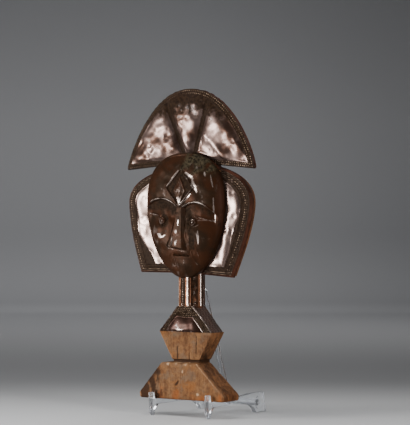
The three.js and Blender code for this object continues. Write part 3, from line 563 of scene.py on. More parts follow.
def wing_face(side, x, z):
    """A wing's front: a strip beside the head, beaten flat, inside a band that slopes back to a worn edge."""
    above_foot = z - HEAD_LEVEL + WING_DROP
    sideways = (wing_edge(side, z) - np.abs(x)) / wing_lean(side, z)
    upwards = above_foot * (WING_BAND / WING_LOWER_BAND)
    from_edge = np.minimum(sideways, upwards)
    strip_edge = WING_BAND + (4 if side > 0 else 0) + 1.2 * waves(z, 0 * z, 40, 85 + side)
    corner = (16 if side < 0 else -2) * line((above_foot - 14) / 30, 1)
    lower = upwards - WING_BAND - 1.5 * waves(x, 0 * x, 16, 88)
    into_strip = np.minimum(sideways - strip_edge - corner, lower)
    head = outside_head(x, z)
    worn = 0.45 * WING_BEVEL * (1 - np.clip(from_edge / WING_WORN_EDGE, 0, 1))
    across_band = (from_edge - WING_WORN_EDGE) / (WING_BAND - WING_WORN_EDGE)
    slope = 0.55 * WING_BEVEL * (1 - np.clip(across_band, 0, 1))
    strip = rise(-0.5, 2.5, into_strip) * rise(0, 3, head)
    spread = ((-110, 110), (185, 350))
    size, depth = (6.5, 0.8) if side < 0 else (4.6, 0.95)
    blows = depth * dents(x, z, size, 61 + side, spread, 110) + 0.25 * dents(x, z, 3.0, 71 + side, spread, 90)
    swell = 1.8 * swollen(into_strip, 3) * swollen(head, 10 if side < 0 else 5)
    level = WING_PLANE - worn - slope + strip * (blows + 0.35 * waves(x, z, 30, 81 + side)) + swell
    level += 0.5 * line(from_edge - WING_BAND, 0.9) * rise(-1, 2, head)
    level += 0.5 * line(from_edge - WING_WORN_EDGE - 0.6, 0.9)
    high = 0.6 * rise(HEAD_LEVEL + 8, HEAD_LEVEL + 30, z)
    beads = line(from_edge - 9.6, 1.6) + high * line(from_edge - 5.2, 1.2) + high * line(from_edge - 13, 1.2)
    rope = np.maximum(0.9 * line(from_edge - 6.6, 2.2), 0.5 * line(from_edge - 12, 1.0))
    rim = rise(WING_WORN_EDGE + 0.8, WING_WORN_EDGE - 0.8, from_edge)
    return np.where(head > 0, level, np.minimum(level, WING_PLANE)), copper_marks(
        x, z, from_edge,
        band=np.maximum(beads if side > 0 else rope, 0.8 * line((above_foot - 4) / 3.2, 1)),
        shine=0.3 * line(from_edge - WING_WORN_EDGE - 0.6, 0.8),
        dark=(0.95 if side > 0 else 1.25) * rise(1.2, -0.8, into_strip),
        rim=rim * (1 if side > 0 else 0.7),
    )


def wing_sheet_shape(side):
    """One wing: level stations from the bottom up, each a closed section from its outer edge in and back."""
    low, high = HEAD_LEVEL - WING_DROP, HEAD_LEVEL + WING_TOP
    levels = np.linspace(low, high, WING_NET[0])
    levels = levels[: int(np.argmax(wing_edge(side, levels) - head_half(levels) < 0.6)) or None]
    levels = np.concatenate([[low, low + SHEET], np.maximum(levels, low + SHEET)[1:]])
    solid = np.arange(len(levels)) < 2
    levels = np.insert(levels, 2, low + SHEET)
    solid = np.insert(solid, 2, False)
    z = levels[:, None]
    outer = wing_edge(side, z) - np.clip(0.35 + 0.5 * waves(z, 0 * z, 8, 83 + side), 0, 0.9) * (z > low + 3)
    inner = np.minimum(head_half(z), outer - 0.4)

    def across(shares, inset):
        return outer - inset - (outer - inset - inner) * shares[None, :]

    x = across(np.linspace(0, 1, WING_NET[1]) ** 1.15, 0)
    level, marks = wing_face(side, side * x, z + 0 * x)
    edge = WING_PLANE - WING_BEVEL - TURN_OVER / 2
    back_x = across(np.linspace(1, 0, 16), SHEET)
    back_level, _ = wing_face(side, side * back_x, z + 0 * back_x)
    back = np.where(solid[:, None], edge, np.minimum(back_level - SHEET - 0.4, WING_PLANE - SHEET))
    rim_x = np.concatenate([across(np.zeros(1), SHEET), across(np.zeros(3), 0)], 1)
    rim = np.array([edge, edge, edge / 2, WING_PLANE - WING_BEVEL - 0.7])[None, :]
    tip_drop = RIGHT_TIP_DROP if side > 0 else 0
    fall = np.clip((HEAD_LEVEL - z) / WING_DROP, 0, 1) ** 3
    parts = (x, level), (back_x, back), (rim_x, rim)
    parts = [(side * part_x, forward, z - tip_drop * part_x / outer * fall) for part_x, forward in parts]
    return closed_sheet(marks, *parts, rim=1)


def neck_sheet_shape():
    """The neck: round ribs, sqrt(1 - (s / w)^2) across, on a plain tube, with beads halfway between them."""
    half = math.radians(180 - NECK_OPEN_ANGLE / 2)
    turn = np.linspace(-half, half, NECK_NET[1])[None, :]
    back_turn = np.linspace(half, -half, 80)[None, :]
    z = np.linspace(SHOULDER_TOP + PLAY, CHIN_LEVEL + TURN_OVER, NECK_NET[0])[:, None]
    pitch = 2 * np.pi * NECK_RADIUS / NECK_LOBES
    share = ((turn - math.radians(RIB_TURN)) * NECK_LOBES / (2 * np.pi)) % 1
    across = (share - 0.5) * pitch
    rib = np.sqrt(np.clip(1 - (across / RIB_HALF) ** 2, 0, 1))
    bead = line(np.abs(across) - pitch / 2 + 0.9, 0.75) * rise(0.0, 0.7, np.cos(2 * np.pi * z / BEAD_PITCH))
    bead *= rise(-1.0, -0.2, waves(turn * 20, z, 12, 93))
    radius = NECK_RADIUS - 0.5 - RIB_DEPTH * (1 - rib) + 0.6 * bead + 0.5 * line(across, 0.8)
    radius += 0.08 * waves(turn * 20, z, 16, 91)
    marks = copper_marks(
        radius, z, turn * NECK_RADIUS,
        shine=1.1 * line(across, 1.2) + 1.2 * bead, dark=0.65 * rise(0.35, 0, rib) * (1 - bead),
    )
    rings = (radius, turn), (NECK_RADIUS - RIB_DEPTH - SHEET, back_turn)
    parts = [(size * np.sin(way), size * np.cos(way) - SET_BACK, z) for size, way in rings]
    return closed_sheet(marks, *parts, along=z)


def shoulder_sheet_shape():
    """The shoulder: level sections round its two sides and its front, which swells between stippled bands."""
    z = np.linspace(WIDEST_LEVEL + PLAY, SHOULDER_TOP, SHOULDER_NET[0])[:, None]
    share = (z - WIDEST_LEVEL) / (SHOULDER_TOP - WIDEST_LEVEL)
    half = shoulder_half(z)
    front = LOZENGE_DEPTH / 2 - SET_BACK
    back = -LOZENGE_DEPTH / 2 - SET_BACK + TURN_OVER / 2
    slope = math.cos(math.atan((LOZENGE_WIDTH - SHOULDER_TOP_WIDTH) / 2 / (SHOULDER_TOP - WIDEST_LEVEL)))
    across = np.linspace(-1, 1, SHOULDER_NET[1] + 2)[None, 1:-1]
    x = across * half
    away = (half - np.abs(x)) * slope
    band = np.where(x < 0, 0.62, 1) * SHOULDER_BAND
    collar = z - (121.5 + 0.15 * np.abs(x))
    chevron = line(z - 123 - 0.9 * np.abs(x), 0.9) * (away > 2)
    foot = z - WIDEST_LEVEL - 0.8
    dome = swollen(away - band, 3.0) * swollen(-collar, 4)
    level = front - 0.3 + dome * ((4.2 - 3.2 * share) * (1 - 0.5 * across**2) + 0.12 * waves(x, z, 13, 95))
    level += 0.8 * np.exp(-np.maximum(foot, 0) / 1.8) * rise(1, 6, away - band)
    level += 5.2 * rise(-1, 10, collar) * (1 - across**2)
    level += 1.1 * line(away - 1.5, 1.0) + 0.8 * line(away - band + 0.5, 0.8) * (collar < 1)
    level = np.minimum(level + 0.8 * chevron + 0.5 * line(away - 7, 0.7), front + SHOULDER_BULGE)

    sides = np.linspace(0, 1, 30)[None, :]
    left = back + (front - back) * sides + 0 * z
    raised_x = half - 0.3 - 0.3 * np.cos(2 * np.pi * left / 6.5) * np.cos(2 * np.pi * z / 6.5)
    outer_x = np.concatenate([-raised_x, x, raised_x[:, ::-1]], 1)
    outer_y = np.concatenate([left, level, left[:, ::-1]], 1)
    inner_x = (outer_x * (half - SHEET) / half)[:, ::-1]
    inner_y = np.minimum(outer_y, front - SHEET)[:, ::-1]

    right = rise(-4, 4, x)
    stipple = rise(band + 0.5, band - 1, away) + rise(-0.3, 0.6, collar)
    stipple = np.clip(stipple, 0, 1) * rise(1.8, 2.8, away)
    beads = np.maximum(line(away - 4.2, 1.0), line(away - 9.6, 1.0) * right) * stipple
    beads += 0.7 * rise(0, 1, collar)
    # Painted highlights: the corner ridge, a row of the band, the dome's edge and the chevron on the right
    # side, and a spot at the dome's foot left of the middle; the corner ridge is also worn bright on the left
    shine = 0.75 * line(away - 1.5, 1.0) * (0.35 + 0.65 * right) + 0.5 * line(away - 7, 0.6) * right
    shine += 0.9 * line(away - band + 0.5, 0.9) * right * (collar < 0) + 0.6 * chevron * right
    shine += 0.9 * line(foot - 2.2, 1.3) * line((x + 8) / 6, 1)
    side_rows = sum(line(left - front + row, 2.2) for row in (5, 13, 21, 29))

    def wrapped(side, middle):
        return np.concatenate([side + 0 * left, middle + 0 * x, (side + 0 * left)[:, ::-1]], 1)

    marks = copper_marks(
        outer_x, z, np.concatenate([left, away + 0 * x, left], 1),
        band=wrapped(side_rows, beads), shine=wrapped(0, shine), dark=wrapped(0.35, 0.95 * stipple),
        rim=wrapped(0.5, 0),
    )
    return closed_sheet(marks, (outer_x, outer_y, z), (inner_x, inner_y, z), along=z)


# Wood


def rounded_section(count, half_width, half_depth, radius):
    """Points round rectangles: a square's outline drawn out, with its corners made quarter circles."""
    turn = np.linspace(0, 2 * np.pi, count + 1)[:-1] + np.pi / 4
    dx, dy = np.cos(turn), np.sin(turn)
    square = np.maximum(np.abs(dx), np.abs(dy))
    width, depth, corner = half_width[:, None], half_depth[:, None], radius[:, None]
    x, y = dx / square * width, dy / square * depth
    over_x, over_y = np.abs(x) - (width - corner), np.abs(y) - (depth - corner)
    both = (over_x > 0) & (over_y > 0)
    length = np.maximum(np.hypot(over_x, over_y), 1e-6)
    x = np.where(both, np.sign(x) * (width - corner + corner * over_x / length), x)
    y = np.where(both, np.sign(y) * (depth - corner + corner * over_y / length), y)
    return x, y


def grime(x, forward, z):
    """Where the wood is darker: round the waist's groove, and dirt in the lozenge's checks, knots and at the
    foot's left end.
    """
    front = forward > 0
    waist = rise(FOOT_HEIGHT + 0.4, FOOT_HEIGHT + 1.6, z) * rise(WAIST_LEVEL + 0.8, WAIST_LEVEL - 0.2, z)
    long_check = 1.2 * line(x - 18.9 - 0.02 * (z - 80), 0.75) * rise(61, 66, z) * rise(104, 90, z)
    knot = line(np.hypot(x - 18.9, (z - 84) * 0.6), 1.3)
    short_check = 1.3 * line(x - 6.3, 0.85) * rise(58, 60, z) * rise(76, 66, z)
    left_check = 1.3 * line(x + 15.4 + 0.03 * (z - 70), 0.9) * rise(59, 62, z) * rise(82, 76, z)
    checks = (long_check + knot + short_check + left_check) * front * (z > WAIST_LEVEL)
    foot_knot = 0.9 * line(np.hypot((x + 9.3 - 0.5 * (z - 24.6)) / 3, (z - 24.6) / 4.4), 1) * front
    lower_side = 0.55 * rise(80, 64, z) * (z > WAIST_LEVEL) * (x > 20)
    lower_side *= rise(-16, -2, forward) * rise(11, 9.5, forward)
    left_end = (0.85 + 0.25 * waves(x, z, 14, 151)) * rise(-30, -60, x) * (z < FOOT_HEIGHT)
    return waist + checks + foot_knot + lower_side + left_end


def paleness(x, forward, z):
    """Where the wood is paler: the foot's upper edge, its front right ridge and two fresh chips."""
    top = rise(FOOT_HEIGHT - 7, FOOT_HEIGHT - 1, z) * (z < FOOT_HEIGHT + 0.3) * (forward > 8)
    top *= rise(-40, -25, x) * rise(24, 6, x) * (0.55 + 0.45 * waves(x, z, 9, 161))
    share = (z - FOOT_RIM) / (FOOT_HEIGHT - FOOT_RIM)
    corner = (FOOT_WIDTH / 2 + FOOT_SHIFT) * (1 - share) + (FOOT_TOP_WIDTH / 2 + FOOT_TOP_SHIFT) * share
    ridge = 1.3 * line(x - corner + 1.4, 2.0) * (z < FOOT_HEIGHT) * (z > FOOT_RIM - 2) * (forward > 15)
    chips = line(np.hypot((x + 0.1) / 1.6, (z - 42) / 3), 1)
    chips += line(np.hypot((x - 28.6) / 2.6, (z - 9.6) / 2), 1)
    return 0.6 * top + 0.95 * ridge + chips * (forward > 8)


def redness(x, z):
    """Where the wood is a stronger orange: along the foot's lower edge, and at its right end."""
    low = rise(17, 5, z + 3 * waves(x, z, 22, 141)) * rise(-66, -50, x)
    return 0.9 * low * (0.6 + 0.4 * waves(x, z, 30, 143)) + 0.8 * rise(60, 74, x) * rise(14, 6, z)


def carved_block(stops, forward, count, seed, tool):
    """A block through stops of (level, half width, half depth, shift, corner), with the tool's flats cut in.

    Each section is a rounded rectangle, drawn in by 1 - cut / distance, and worn at its corners.
    """
    stops = np.array(stops, float)
    run = np.concatenate([[0], np.cumsum(np.hypot(np.diff(stops[:, 0]), np.diff(stops[:, 1])))])
    at = np.unique(np.concatenate([np.arange(0, run[-1], SECTION_STEP), run]))
    level, width, depth, shift, corner = (np.interp(at, run, column)[:, None] for column in stops.T)
    corner = np.minimum(corner, np.minimum(width, depth))
    x, y = rounded_section(count, width[:, 0], depth[:, 0], corner[:, 0])
    z = level + 0 * x
    full = rise(0.2, 1, width / stops[:, 1].max())
    cuts = tool * (np.abs(waves(x + 3 * y, z, 15, seed)) - 0.5 + 0.5 * waves(x - y, z * 0.35, 5, seed + 1))
    scale = 1 - np.maximum(0.0, cuts) * full / np.maximum(np.hypot(x, y), 8)
    at_corner = rise(-2.5, 0, np.abs(x) - width + corner) * rise(-2.5, 0, np.abs(y) - depth + corner)
    worn = at_corner * (0.6 + 0.4 * waves(x, z, 12, seed + 2))
    x, y = x * scale + shift, y * scale + forward
    marks = masks(
        WOOD_MASKS, x, worn=worn, grime=grime(x, y, z), pale=paleness(x, y, z), orange=redness(x, z),
        side=rise(0.9, 0.99, np.abs(x - shift) / np.maximum(width, 1e-6)) * (x > 0),
    )
    return lofted(placed(x, y, z), marks)


def foot_shape():
    """The foot: an upright rim, sloped sides and a small worn top that sits off to the left."""
    w, d, tw, td = FOOT_WIDTH / 2, FOOT_DEPTH / 2, FOOT_TOP_WIDTH / 2, FOOT_TOP_DEPTH / 2
    low, high = FOOT_SHIFT, FOOT_TOP_SHIFT
    stops = [
        (0, w - 3, d - 3, low, 2), (0.6, w - 1.2, d - 1.2, low, 2), (2.2, w, d, low, 2.2),
        (FOOT_RIM - 1.5, w, d, low, 2.2), (FOOT_RIM + 0.4, w - 0.7, d - 0.3, low - 0.1, 2.4),
        (FOOT_RIM + 3, w - 3.2, d - 0.6, low - 0.4, 1.6), (FOOT_HEIGHT - 2.2, tw + 1.6, td, high, 1.4),
        (FOOT_HEIGHT - 0.7, tw + 0.2, td - 0.7, high, 1.4), (FOOT_HEIGHT, tw - 1.8, td - 2.2, high, 1.2),
    ]
    return carved_block(stops, 0, 360, 101, 0.5)


def lozenge_shape():
    """The lozenge: a short waist, a lower half of bare wood that widens upwards, and the shoulder's core."""
    d, low, wide = LOZENGE_DEPTH / 2, LOZENGE_FOOT_WIDTH / 2, LOZENGE_WIDTH / 2
    stops = [
        (FOOT_HEIGHT - 1, low - 1.6, d - 1.6, 0, 1), (WAIST_LEVEL - 1, low - 1.8, d - 1.8, 0, 1),
        (WAIST_LEVEL, low - 0.4, d - 0.4, 0, 1), (WAIST_LEVEL + 1, low + 0.3, d, 0, 1.2),
        (WIDEST_LEVEL - 1.2, wide - 0.8, d, 0, 1.2), (WIDEST_LEVEL - 0.2, wide - 0.1, d - 0.1, 0, 1.2),
        (WIDEST_LEVEL, wide - 0.4, d - 0.3, 0, 1.2), (WIDEST_LEVEL + 0.1, wide - LINING, d - LINING, 0, 1),
        (SHOULDER_TOP, SHOULDER_TOP_WIDTH / 2 - LINING + 0.3, d - LINING, 0, 1),
    ]
    return carved_block(stops, -SET_BACK, 300, 111, 0.35)


def neck_core_shape():
    """The neck's wood, a round post that runs out into the back of the head as a low ridge."""
    turn = np.linspace(0, 2 * np.pi, 73)[:-1][None, :]
    z = np.array([136, 139, 150, 165, 180, 188, 200, 212, 225, 233])[:, None].astype(float)
    fade = rise(188, 236, z)
    radius = (NECK_RADIUS - LINING - 1.4) * (1 - 0.5 * fade) + 0.25 * waves(turn * 15, z, 14, 121)
    forward = radius * np.cos(turn) - SET_BACK - 0.2 * fade * NECK_RADIUS
    forward = np.maximum(forward, -23.5 + 10 * fade)
    return lofted(placed(radius * np.sin(turn), forward, z), masks(WOOD_MASKS, radius, aged=0.9))


def slab_shape(x, z, front, back, aged, edge=1.2):
    """A board over a round net from its middle out: the front, a softened side and a back with adze marks."""
    adze = 0.5 * np.abs(waves(x, z, 20, 131)) + 0.25 * waves(x, z * 0.4, 6, 133)

    def rounds(value):
        centre = value[:1].mean()
        inner = centre + (value - centre) * (1 - edge / MEAN_REACH)
        return np.concatenate([value, value[-1:], value[-1:], inner[-1:], inner[::-1]])

    side = [front[-1:] - 1, 0 * x[-1:] + back + edge, 0 * x[-1:] + back]
    depth = np.concatenate([front, *side, back + np.clip(adze[::-1], 0, 1.5)])
    return lofted(placed(rounds(x), depth, rounds(z)), masks(WOOD_MASKS, depth, aged=aged))


def head_core_shape():
    """The head's wood: the face's oval drawn in by the lining, hollowed under the sheet, flat at the back."""
    turns = np.linspace(0, 2 * np.pi, 161)[:-1]
    shares = np.sin(np.linspace(0, np.pi / 2, 22))
    x, z = head_net(LINING, shares, turns)
    front = WING_PLANE + HEAD_RIM - 9 + 0.8 * head_swell(shares)[:, None] + 0 * x
    return slab_shape(x, z, front, -WING_BACK, 1.0)


def filled(edge_x, edge_z, middle_z):
    """Points (x, z) that fill an outline from a place on the middle line, at the sine of even steps out."""
    share = np.sin(np.linspace(0, np.pi / 2, 26))[:, None]
    return share * edge_x, middle_z + share * (edge_z - middle_z)


def wing_core_shape():
    """The wings' wood: their outline drawn in by the lining, filled from the middle out."""
    low, high = HEAD_LEVEL - WING_DROP + LINING, HEAD_LEVEL + WING_TOP - LINING
    up, down = np.linspace(low, high, 130), np.linspace(high, low, 130)
    levels = np.concatenate([np.full(30, low), up, np.full(30, high), down])
    right = wing_edge(1, up) - LINING * wing_lean(1, up)
    left = wing_edge(-1, down) - LINING * wing_lean(-1, down)
    foot, top = np.linspace(-left[-1], right[0], 30), np.linspace(right[-1], -left[0], 30)
    edge_x = np.concatenate([foot, right, top, -left])
    drop = np.clip((HEAD_LEVEL - levels) / WING_DROP, 0, 1) ** 6
    edge_z = levels - np.where(edge_x > 0, RIGHT_TIP_DROP * edge_x / (WING_SPAN / 2 - RIGHT_TAPER) * drop, 0)
    x, z = filled(edge_x, edge_z, 285)
    sideways = np.where(x > 0, wing_edge(1, z), wing_edge(-1, z)) - np.abs(x)
    away = np.minimum(sideways, (z - HEAD_LEVEL + WING_DROP) * WING_BAND / WING_LOWER_BAND)
    front = WING_PLANE - LINING - 0.6 - WING_BEVEL * (1 - np.clip(away / WING_BAND, 0, 1))
    return slab_shape(x, z, front, -WING_BACK, 0.55)


def crest_core_shape():
    """The crest's wood: its outline drawn in by the lining, filled from its root out."""
    end = math.radians(CREST_UNDERSIDE)
    turns = np.linspace(-end, end, 200)
    start = fan_start(turns)
    reach = crest_reach(turns, start, LINING) - 0.5
    root = CREST_ROOT + LINING
    rim_x, rim_z = start + reach * np.sin(turns), root + reach * np.cos(turns)
    foot_x = np.linspace(rim_x[-1], rim_x[0], 40)[1:-1]
    foot_z = rim_z[0] + (root - rim_z[0]) * (1 - np.abs(foot_x) / np.abs(rim_x[0]))
    x, z = filled(np.concatenate([rim_x, foot_x]), np.concatenate([rim_z, foot_z]), 385)
    front = CREST_PLANE - LINING - CREST_BEVEL - 0.5 + 0 * x
    return slab_shape(x, z, front, -CREST_BACK, 0.8)


# Materials


class Board:
    """A node tree with short ways to add nodes, link them and mix values."""

    def __init__(self, tree):
        self.tree = tree

    def add(self, kind, settings=None, **inputs):
        """A node with its settings, and its inputs by name, or by number as in i0."""
        node = self.tree.nodes.new(kind)
        for key, value in (settings or {}).items():
            setattr(node, key, value)
        for key, value in inputs.items():
            self.feed(node.inputs[int(key[1:]) if key[1:].isdigit() else key.replace("_", " ")], value)
        return node

    def feed(self, socket, value):
        """A link or a plain value for an input; colours are given as red, green and blue."""
        if isinstance(value, bpy.types.NodeSocket):
            self.tree.links.new(value, socket)
        elif value is not None:
            socket.default_value = (*value, 1) if socket.type == "RGBA" else value

    def math(self, operation, *values, clamp=False):
        inputs = {f"i{number}": value for number, value in enumerate(values)}
        return self.add("ShaderNodeMath", {"operation": operation, "use_clamp": clamp}, **inputs).outputs[0]

    def times(self, first, second):
        return self.math("MULTIPLY", first, second)

    def most(self, first, second):
        return self.math("MAXIMUM", first, second)

    def mix(self, share, first, second):
        return self.add("ShaderNodeMix", {"data_type": "RGBA"}, i0=share, i6=first, i7=second).outputs[2]

    def over(self, mask, strength, colour, paint):
        """A colour with paint laid over it by a mask, at most as strong as given."""
        return self.mix(self.times(mask, strength), colour, paint)

    def blend(self, share, first, second):
        return self.add("ShaderNodeMix", {"data_type": "FLOAT"}, i0=share, i2=first, i3=second).outputs[0]

    def ramp(self, value, low, high):
        settings = {"clamp": True, "interpolation_type": "SMOOTHSTEP"}
        return self.add("ShaderNodeMapRange", settings, i0=value, i1=low, i2=high, i3=0.0, i4=1.0).outputs[0]

    def noise(self, place, scale, detail=3.0, rough=0.55, twist=0.0):
        inputs = {"Vector": place, "Scale": scale, "Detail": detail, "Roughness": rough, "Distortion": twist}
        return self.add("ShaderNodeTexNoise", None, **inputs).outputs[0]

    def stretched(self, place, scale):
        return self.add("ShaderNodeMapping", None, Vector=place, Scale=scale).outputs[0]

    def mark(self, name):
        return self.add("ShaderNodeAttribute", {"attribute_name": name}).outputs["Fac"]

    def place(self):
        return self.add("ShaderNodeTexCoord").outputs["Object"]


def group(name, build, outputs, **inputs):
    """A node group that build() fills with masks or values. An input is a plain value, or None: a place."""
    tree = bpy.data.node_groups.new(name, "ShaderNodeTree")
    for key, value in inputs.items():
        kind = "NodeSocketVector" if value is None else "NodeSocketFloat"
        socket = tree.interface.new_socket(key.replace("_", " "), in_out="INPUT", socket_type=kind)
        if value is not None:
            socket.default_value = value
    for label in outputs:
        tree.interface.new_socket(label, in_out="OUTPUT", socket_type="NodeSocketFloat")
    board = Board(tree)
    start = tree.nodes.new("NodeGroupInput")
    end = tree.nodes.new("NodeGroupOutput")
    for label, socket in zip(outputs, build(board, start.outputs)):
        tree.links.new(socket, end.inputs[label])
    return tree


def hammer_marks(board, given):
    """Small hammer blows: soft cells of one size, blurred and broken by noise."""
    blows = given["Blows per metre"]
    scaled = board.add("ShaderNodeVectorMath", {"operation": "SCALE"}, i0=given["Place"], Scale=blows)
    place = scaled.outputs[0]
    inputs = {"Vector": place, "Scale": 1.0, "Smoothness": 0.7, "Randomness": 1.0}
    cells = board.add("ShaderNodeTexVoronoi", {"feature": "SMOOTH_F1"}, **inputs)
    return [board.blend(0.4, cells.outputs["Distance"], board.noise(place, 1.3, 2.0, 0.4))]


def punched_dots(board, given):
    """Rows of punched dots: the cells of a plane that is laid along an edge."""
    flat = board.add("ShaderNodeCombineXYZ", None, X=given["Along"], Y=given["Across"])
    scale = board.math("DIVIDE", 1.0, given["Pitch"])
    inputs = {"Vector": flat.outputs[0], "Scale": scale, "Randomness": 0.25}
    cells = board.add("ShaderNodeTexVoronoi", {"voronoi_dimensions": "2D"}, **inputs)
    return [board.times(board.ramp(cells.outputs["Distance"], 0.36, 0.12), given["Mask"])]


def wear(board, given):
    """Blotches of wear, dirt, painted highlight and painted shade: noise that is let through near a mask, and
    here and there without it.
    """
    blotch = board.noise(given["Place"], given["Scale"], 5.0, 0.62, 0.3)
    return [board.ramp(board.math("MULTIPLY_ADD", given["Mask"], 0.55, blotch), given["Low"], given["High"])]


def wood_grain(board, given):
    """Fibres that run upwards: fine and coarse noise drawn out along the grain, with pores and checks."""
    place = given["Place"]
    coarse = board.noise(board.stretched(place, (95.0, 95.0, 9.0)), 1.0, 5.0, 0.6, 0.6)
    fine = board.noise(board.stretched(place, (620.0, 620.0, 26.0)), 1.0, 4.0, 0.6)
    drawn = board.stretched(place, (900.0, 900.0, 130.0))
    pores = board.add("ShaderNodeTexVoronoi", None, Vector=drawn, Scale=1.0)
    check = board.noise(board.stretched(place, (150.0, 150.0, 7.0)), 1.0, 2.0, 0.5, 0.2)
    near = board.math("ABSOLUTE", board.math("SUBTRACT", check, 0.5))
    crack = board.times(board.ramp(near, 0.012, 0.002), board.ramp(board.noise(place, 26.0, 1.0), 0.56, 0.66))
    return [board.blend(0.4, coarse, fine), board.ramp(pores.outputs["Distance"], 0.26, 0.08), crack]


HAMMER = group("hammer marks", hammer_marks, ["Height"], Place=None, Blows_per_metre=120.0)
DOTS = group("punched dots", punched_dots, ["Dot"], Along=0.0, Across=0.0, Pitch=2.2, Mask=1.0)
WEAR_DIRT_AND_PAINTED_LIGHT = group("wear, dirt and painted light", wear, ["Amount"], Place=None, Scale=40.0, Mask=0.0, Low=0.5, High=0.7)
GRAIN = group("wood grain", wood_grain, ["Fibre", "Pore", "Crack"], Place=None)


def new_material(name):
    """A material with its Principled shader, and the board to build on."""
    material = bpy.data.materials.new(name)
    material.use_nodes = True
    tree = material.node_tree
    tree.nodes.clear()
    board = Board(tree)
    shader = board.add("ShaderNodeBsdfPrincipled")
    output = board.add("ShaderNodeOutputMaterial")
    tree.links.new(shader.outputs[0], output.inputs["Surface"])
    return material, board, shader


def use(board, tree, **inputs):
    """A group placed in a material, with its values."""
    return board.add("ShaderNodeGroup", {"node_tree": tree}, **inputs).outputs


def patches_of_wear_dirt_and_painted_light(board, place, scale, mask, low, high):
    """The mask of the group for wear, dirt and painted light, over an object."""
    return use(board, WEAR_DIRT_AND_PAINTED_LIGHT, Place=place, Scale=scale, Mask=mask, Low=low, High=high)["Amount"]


def look(board, shader, **inputs):
    """The shader's inputs by name, each a link or a plain value."""
    for key, value in inputs.items():
        board.feed(shader.inputs[key.replace("_", " ")], value)


def raised(board, shader, height, depth, below=None):
    """A bump of a depth in metres on the shader's normal, over another one where given."""
    bump = board.add("ShaderNodeBump", None, Height=height, Distance=depth, Strength=1.0, Normal=below)
    look(board, shader, Normal=bump.outputs[0])
    return bump.outputs[0]


# Copper's colours: the two grimes, which also serve as painted shade, the old brown edge, the verdigris,
# stains, and metal worn bare, which also serves as painted highlight
SOOT_AND_SHADE = (0.008, 0.004, 0.002), (0.022, 0.012, 0.0062)
RUSSET = (0.022, 0.009, 0.0055), (0.055, 0.02, 0.012)
VERDIGRIS = (0.008, 0.006, 0.0035), (0.042, 0.032, 0.018)
STAIN = (0.022, 0.01, 0.006)
RUBBED_AND_HIGHLIGHT = (0.34, 0.27, 0.235)
RUBBED_DOTS = (0.3, 0.21, 0.145)
BROWN_SKIN = (0.13, 0.088, 0.075)
DEEP_SKIN = (0.05, 0.027, 0.019)
STAMPED_DEPTH = 0.0006


def copper(name, skin, shade, blows, beat, pitch, rough, metal, coat=0.0, soft=0.3, spots=0.4):
    """Hammered copper under an old brown skin: worn bare where it is proud and where a highlight is painted,
    dirty and stippled in the bands, and darkened where shade is painted.
    """
    material, board, shader = new_material("copper of the " + name)
    place = board.place()
    band, shine, dark, crust, rim = (board.mark(key) for key in COPPER_MASKS)
    hammer = use(board, HAMMER, Place=place, Blows_per_metre=blows)["Height"]
    along, across = board.mark("along"), board.mark("across")
    dots = use(board, DOTS, Along=along, Across=across, Pitch=pitch, Mask=band)["Dot"]
    cloud = board.noise(place, 34.0, 4.0, 0.55, 0.4)
    fleck = board.noise(place, 300.0, 4.0, 0.6)
    stain = board.ramp(board.noise(place, 70.0, 3.0, 0.5, 0.5), 0.5, 0.7)
    # Painted highlights ride on the shine mask and painted shade on the dark mask, over the real wear and
    # dirt
    rubbed_and_highlight = patches_of_wear_dirt_and_painted_light(board, place, 90.0, shine, 0.6, 0.6 + soft)
    soot_and_shade = patches_of_wear_dirt_and_painted_light(board, place, 90.0, dark, 0.62, 0.9)
    worn_dots = board.times(dots, board.ramp(board.noise(place, 130.0, 2.0), 0.3, 0.6))
    colour = board.over(stain, spots, board.mix(board.ramp(cloud, 0.36, 0.64), skin, shade), STAIN)
    colour = board.mix(rubbed_and_highlight, colour, RUBBED_AND_HIGHLIGHT)
    colour = board.over(soot_and_shade, 0.95, colour, board.mix(board.ramp(fleck, 0.35, 0.65), *SOOT_AND_SHADE))
    colour = board.over(worn_dots, 0.85, colour, RUBBED_DOTS)
    colour = board.mix(rim, colour, board.mix(board.ramp(cloud, 0.4, 0.6), *RUSSET))
    colour = board.mix(crust, colour, board.mix(board.ramp(fleck, 0.38, 0.62), *VERDIGRIS))
    tarnish_and_shade = board.most(board.most(soot_and_shade, crust), rim)
    tarnish_and_shade = board.math("SUBTRACT", tarnish_and_shade, board.times(worn_dots, 0.35), clamp=True)
    gloss = board.math("MULTIPLY_ADD", board.noise(place, 80.0, 4.0, 0.6), 0.2, rough - 0.1)
    sheen = board.most(board.times(rubbed_and_highlight, 0.5), coat)
    metallic = board.blend(tarnish_and_shade, board.blend(rubbed_and_highlight, metal, 1.0), 0.08)
    roughness = board.blend(tarnish_and_shade, board.blend(rubbed_and_highlight, gloss, 0.24), 0.6)
    look(board, shader, Base_Color=colour, Metallic=metallic, Roughness=roughness, Specular_IOR_Level=0.025)
    look(board, shader, Coat_Weight=board.blend(tarnish_and_shade, sheen, 0.0), Coat_Roughness=0.16)
    stamped = raised(board, shader, dots, STAMPED_DEPTH, raised(board, shader, hammer, beat))
    grit = board.times(fleck, board.math("MULTIPLY_ADD", crust, 1.5, 0.05))
    raised(board, shader, grit, STAMPED_DEPTH, stamped)
    return material


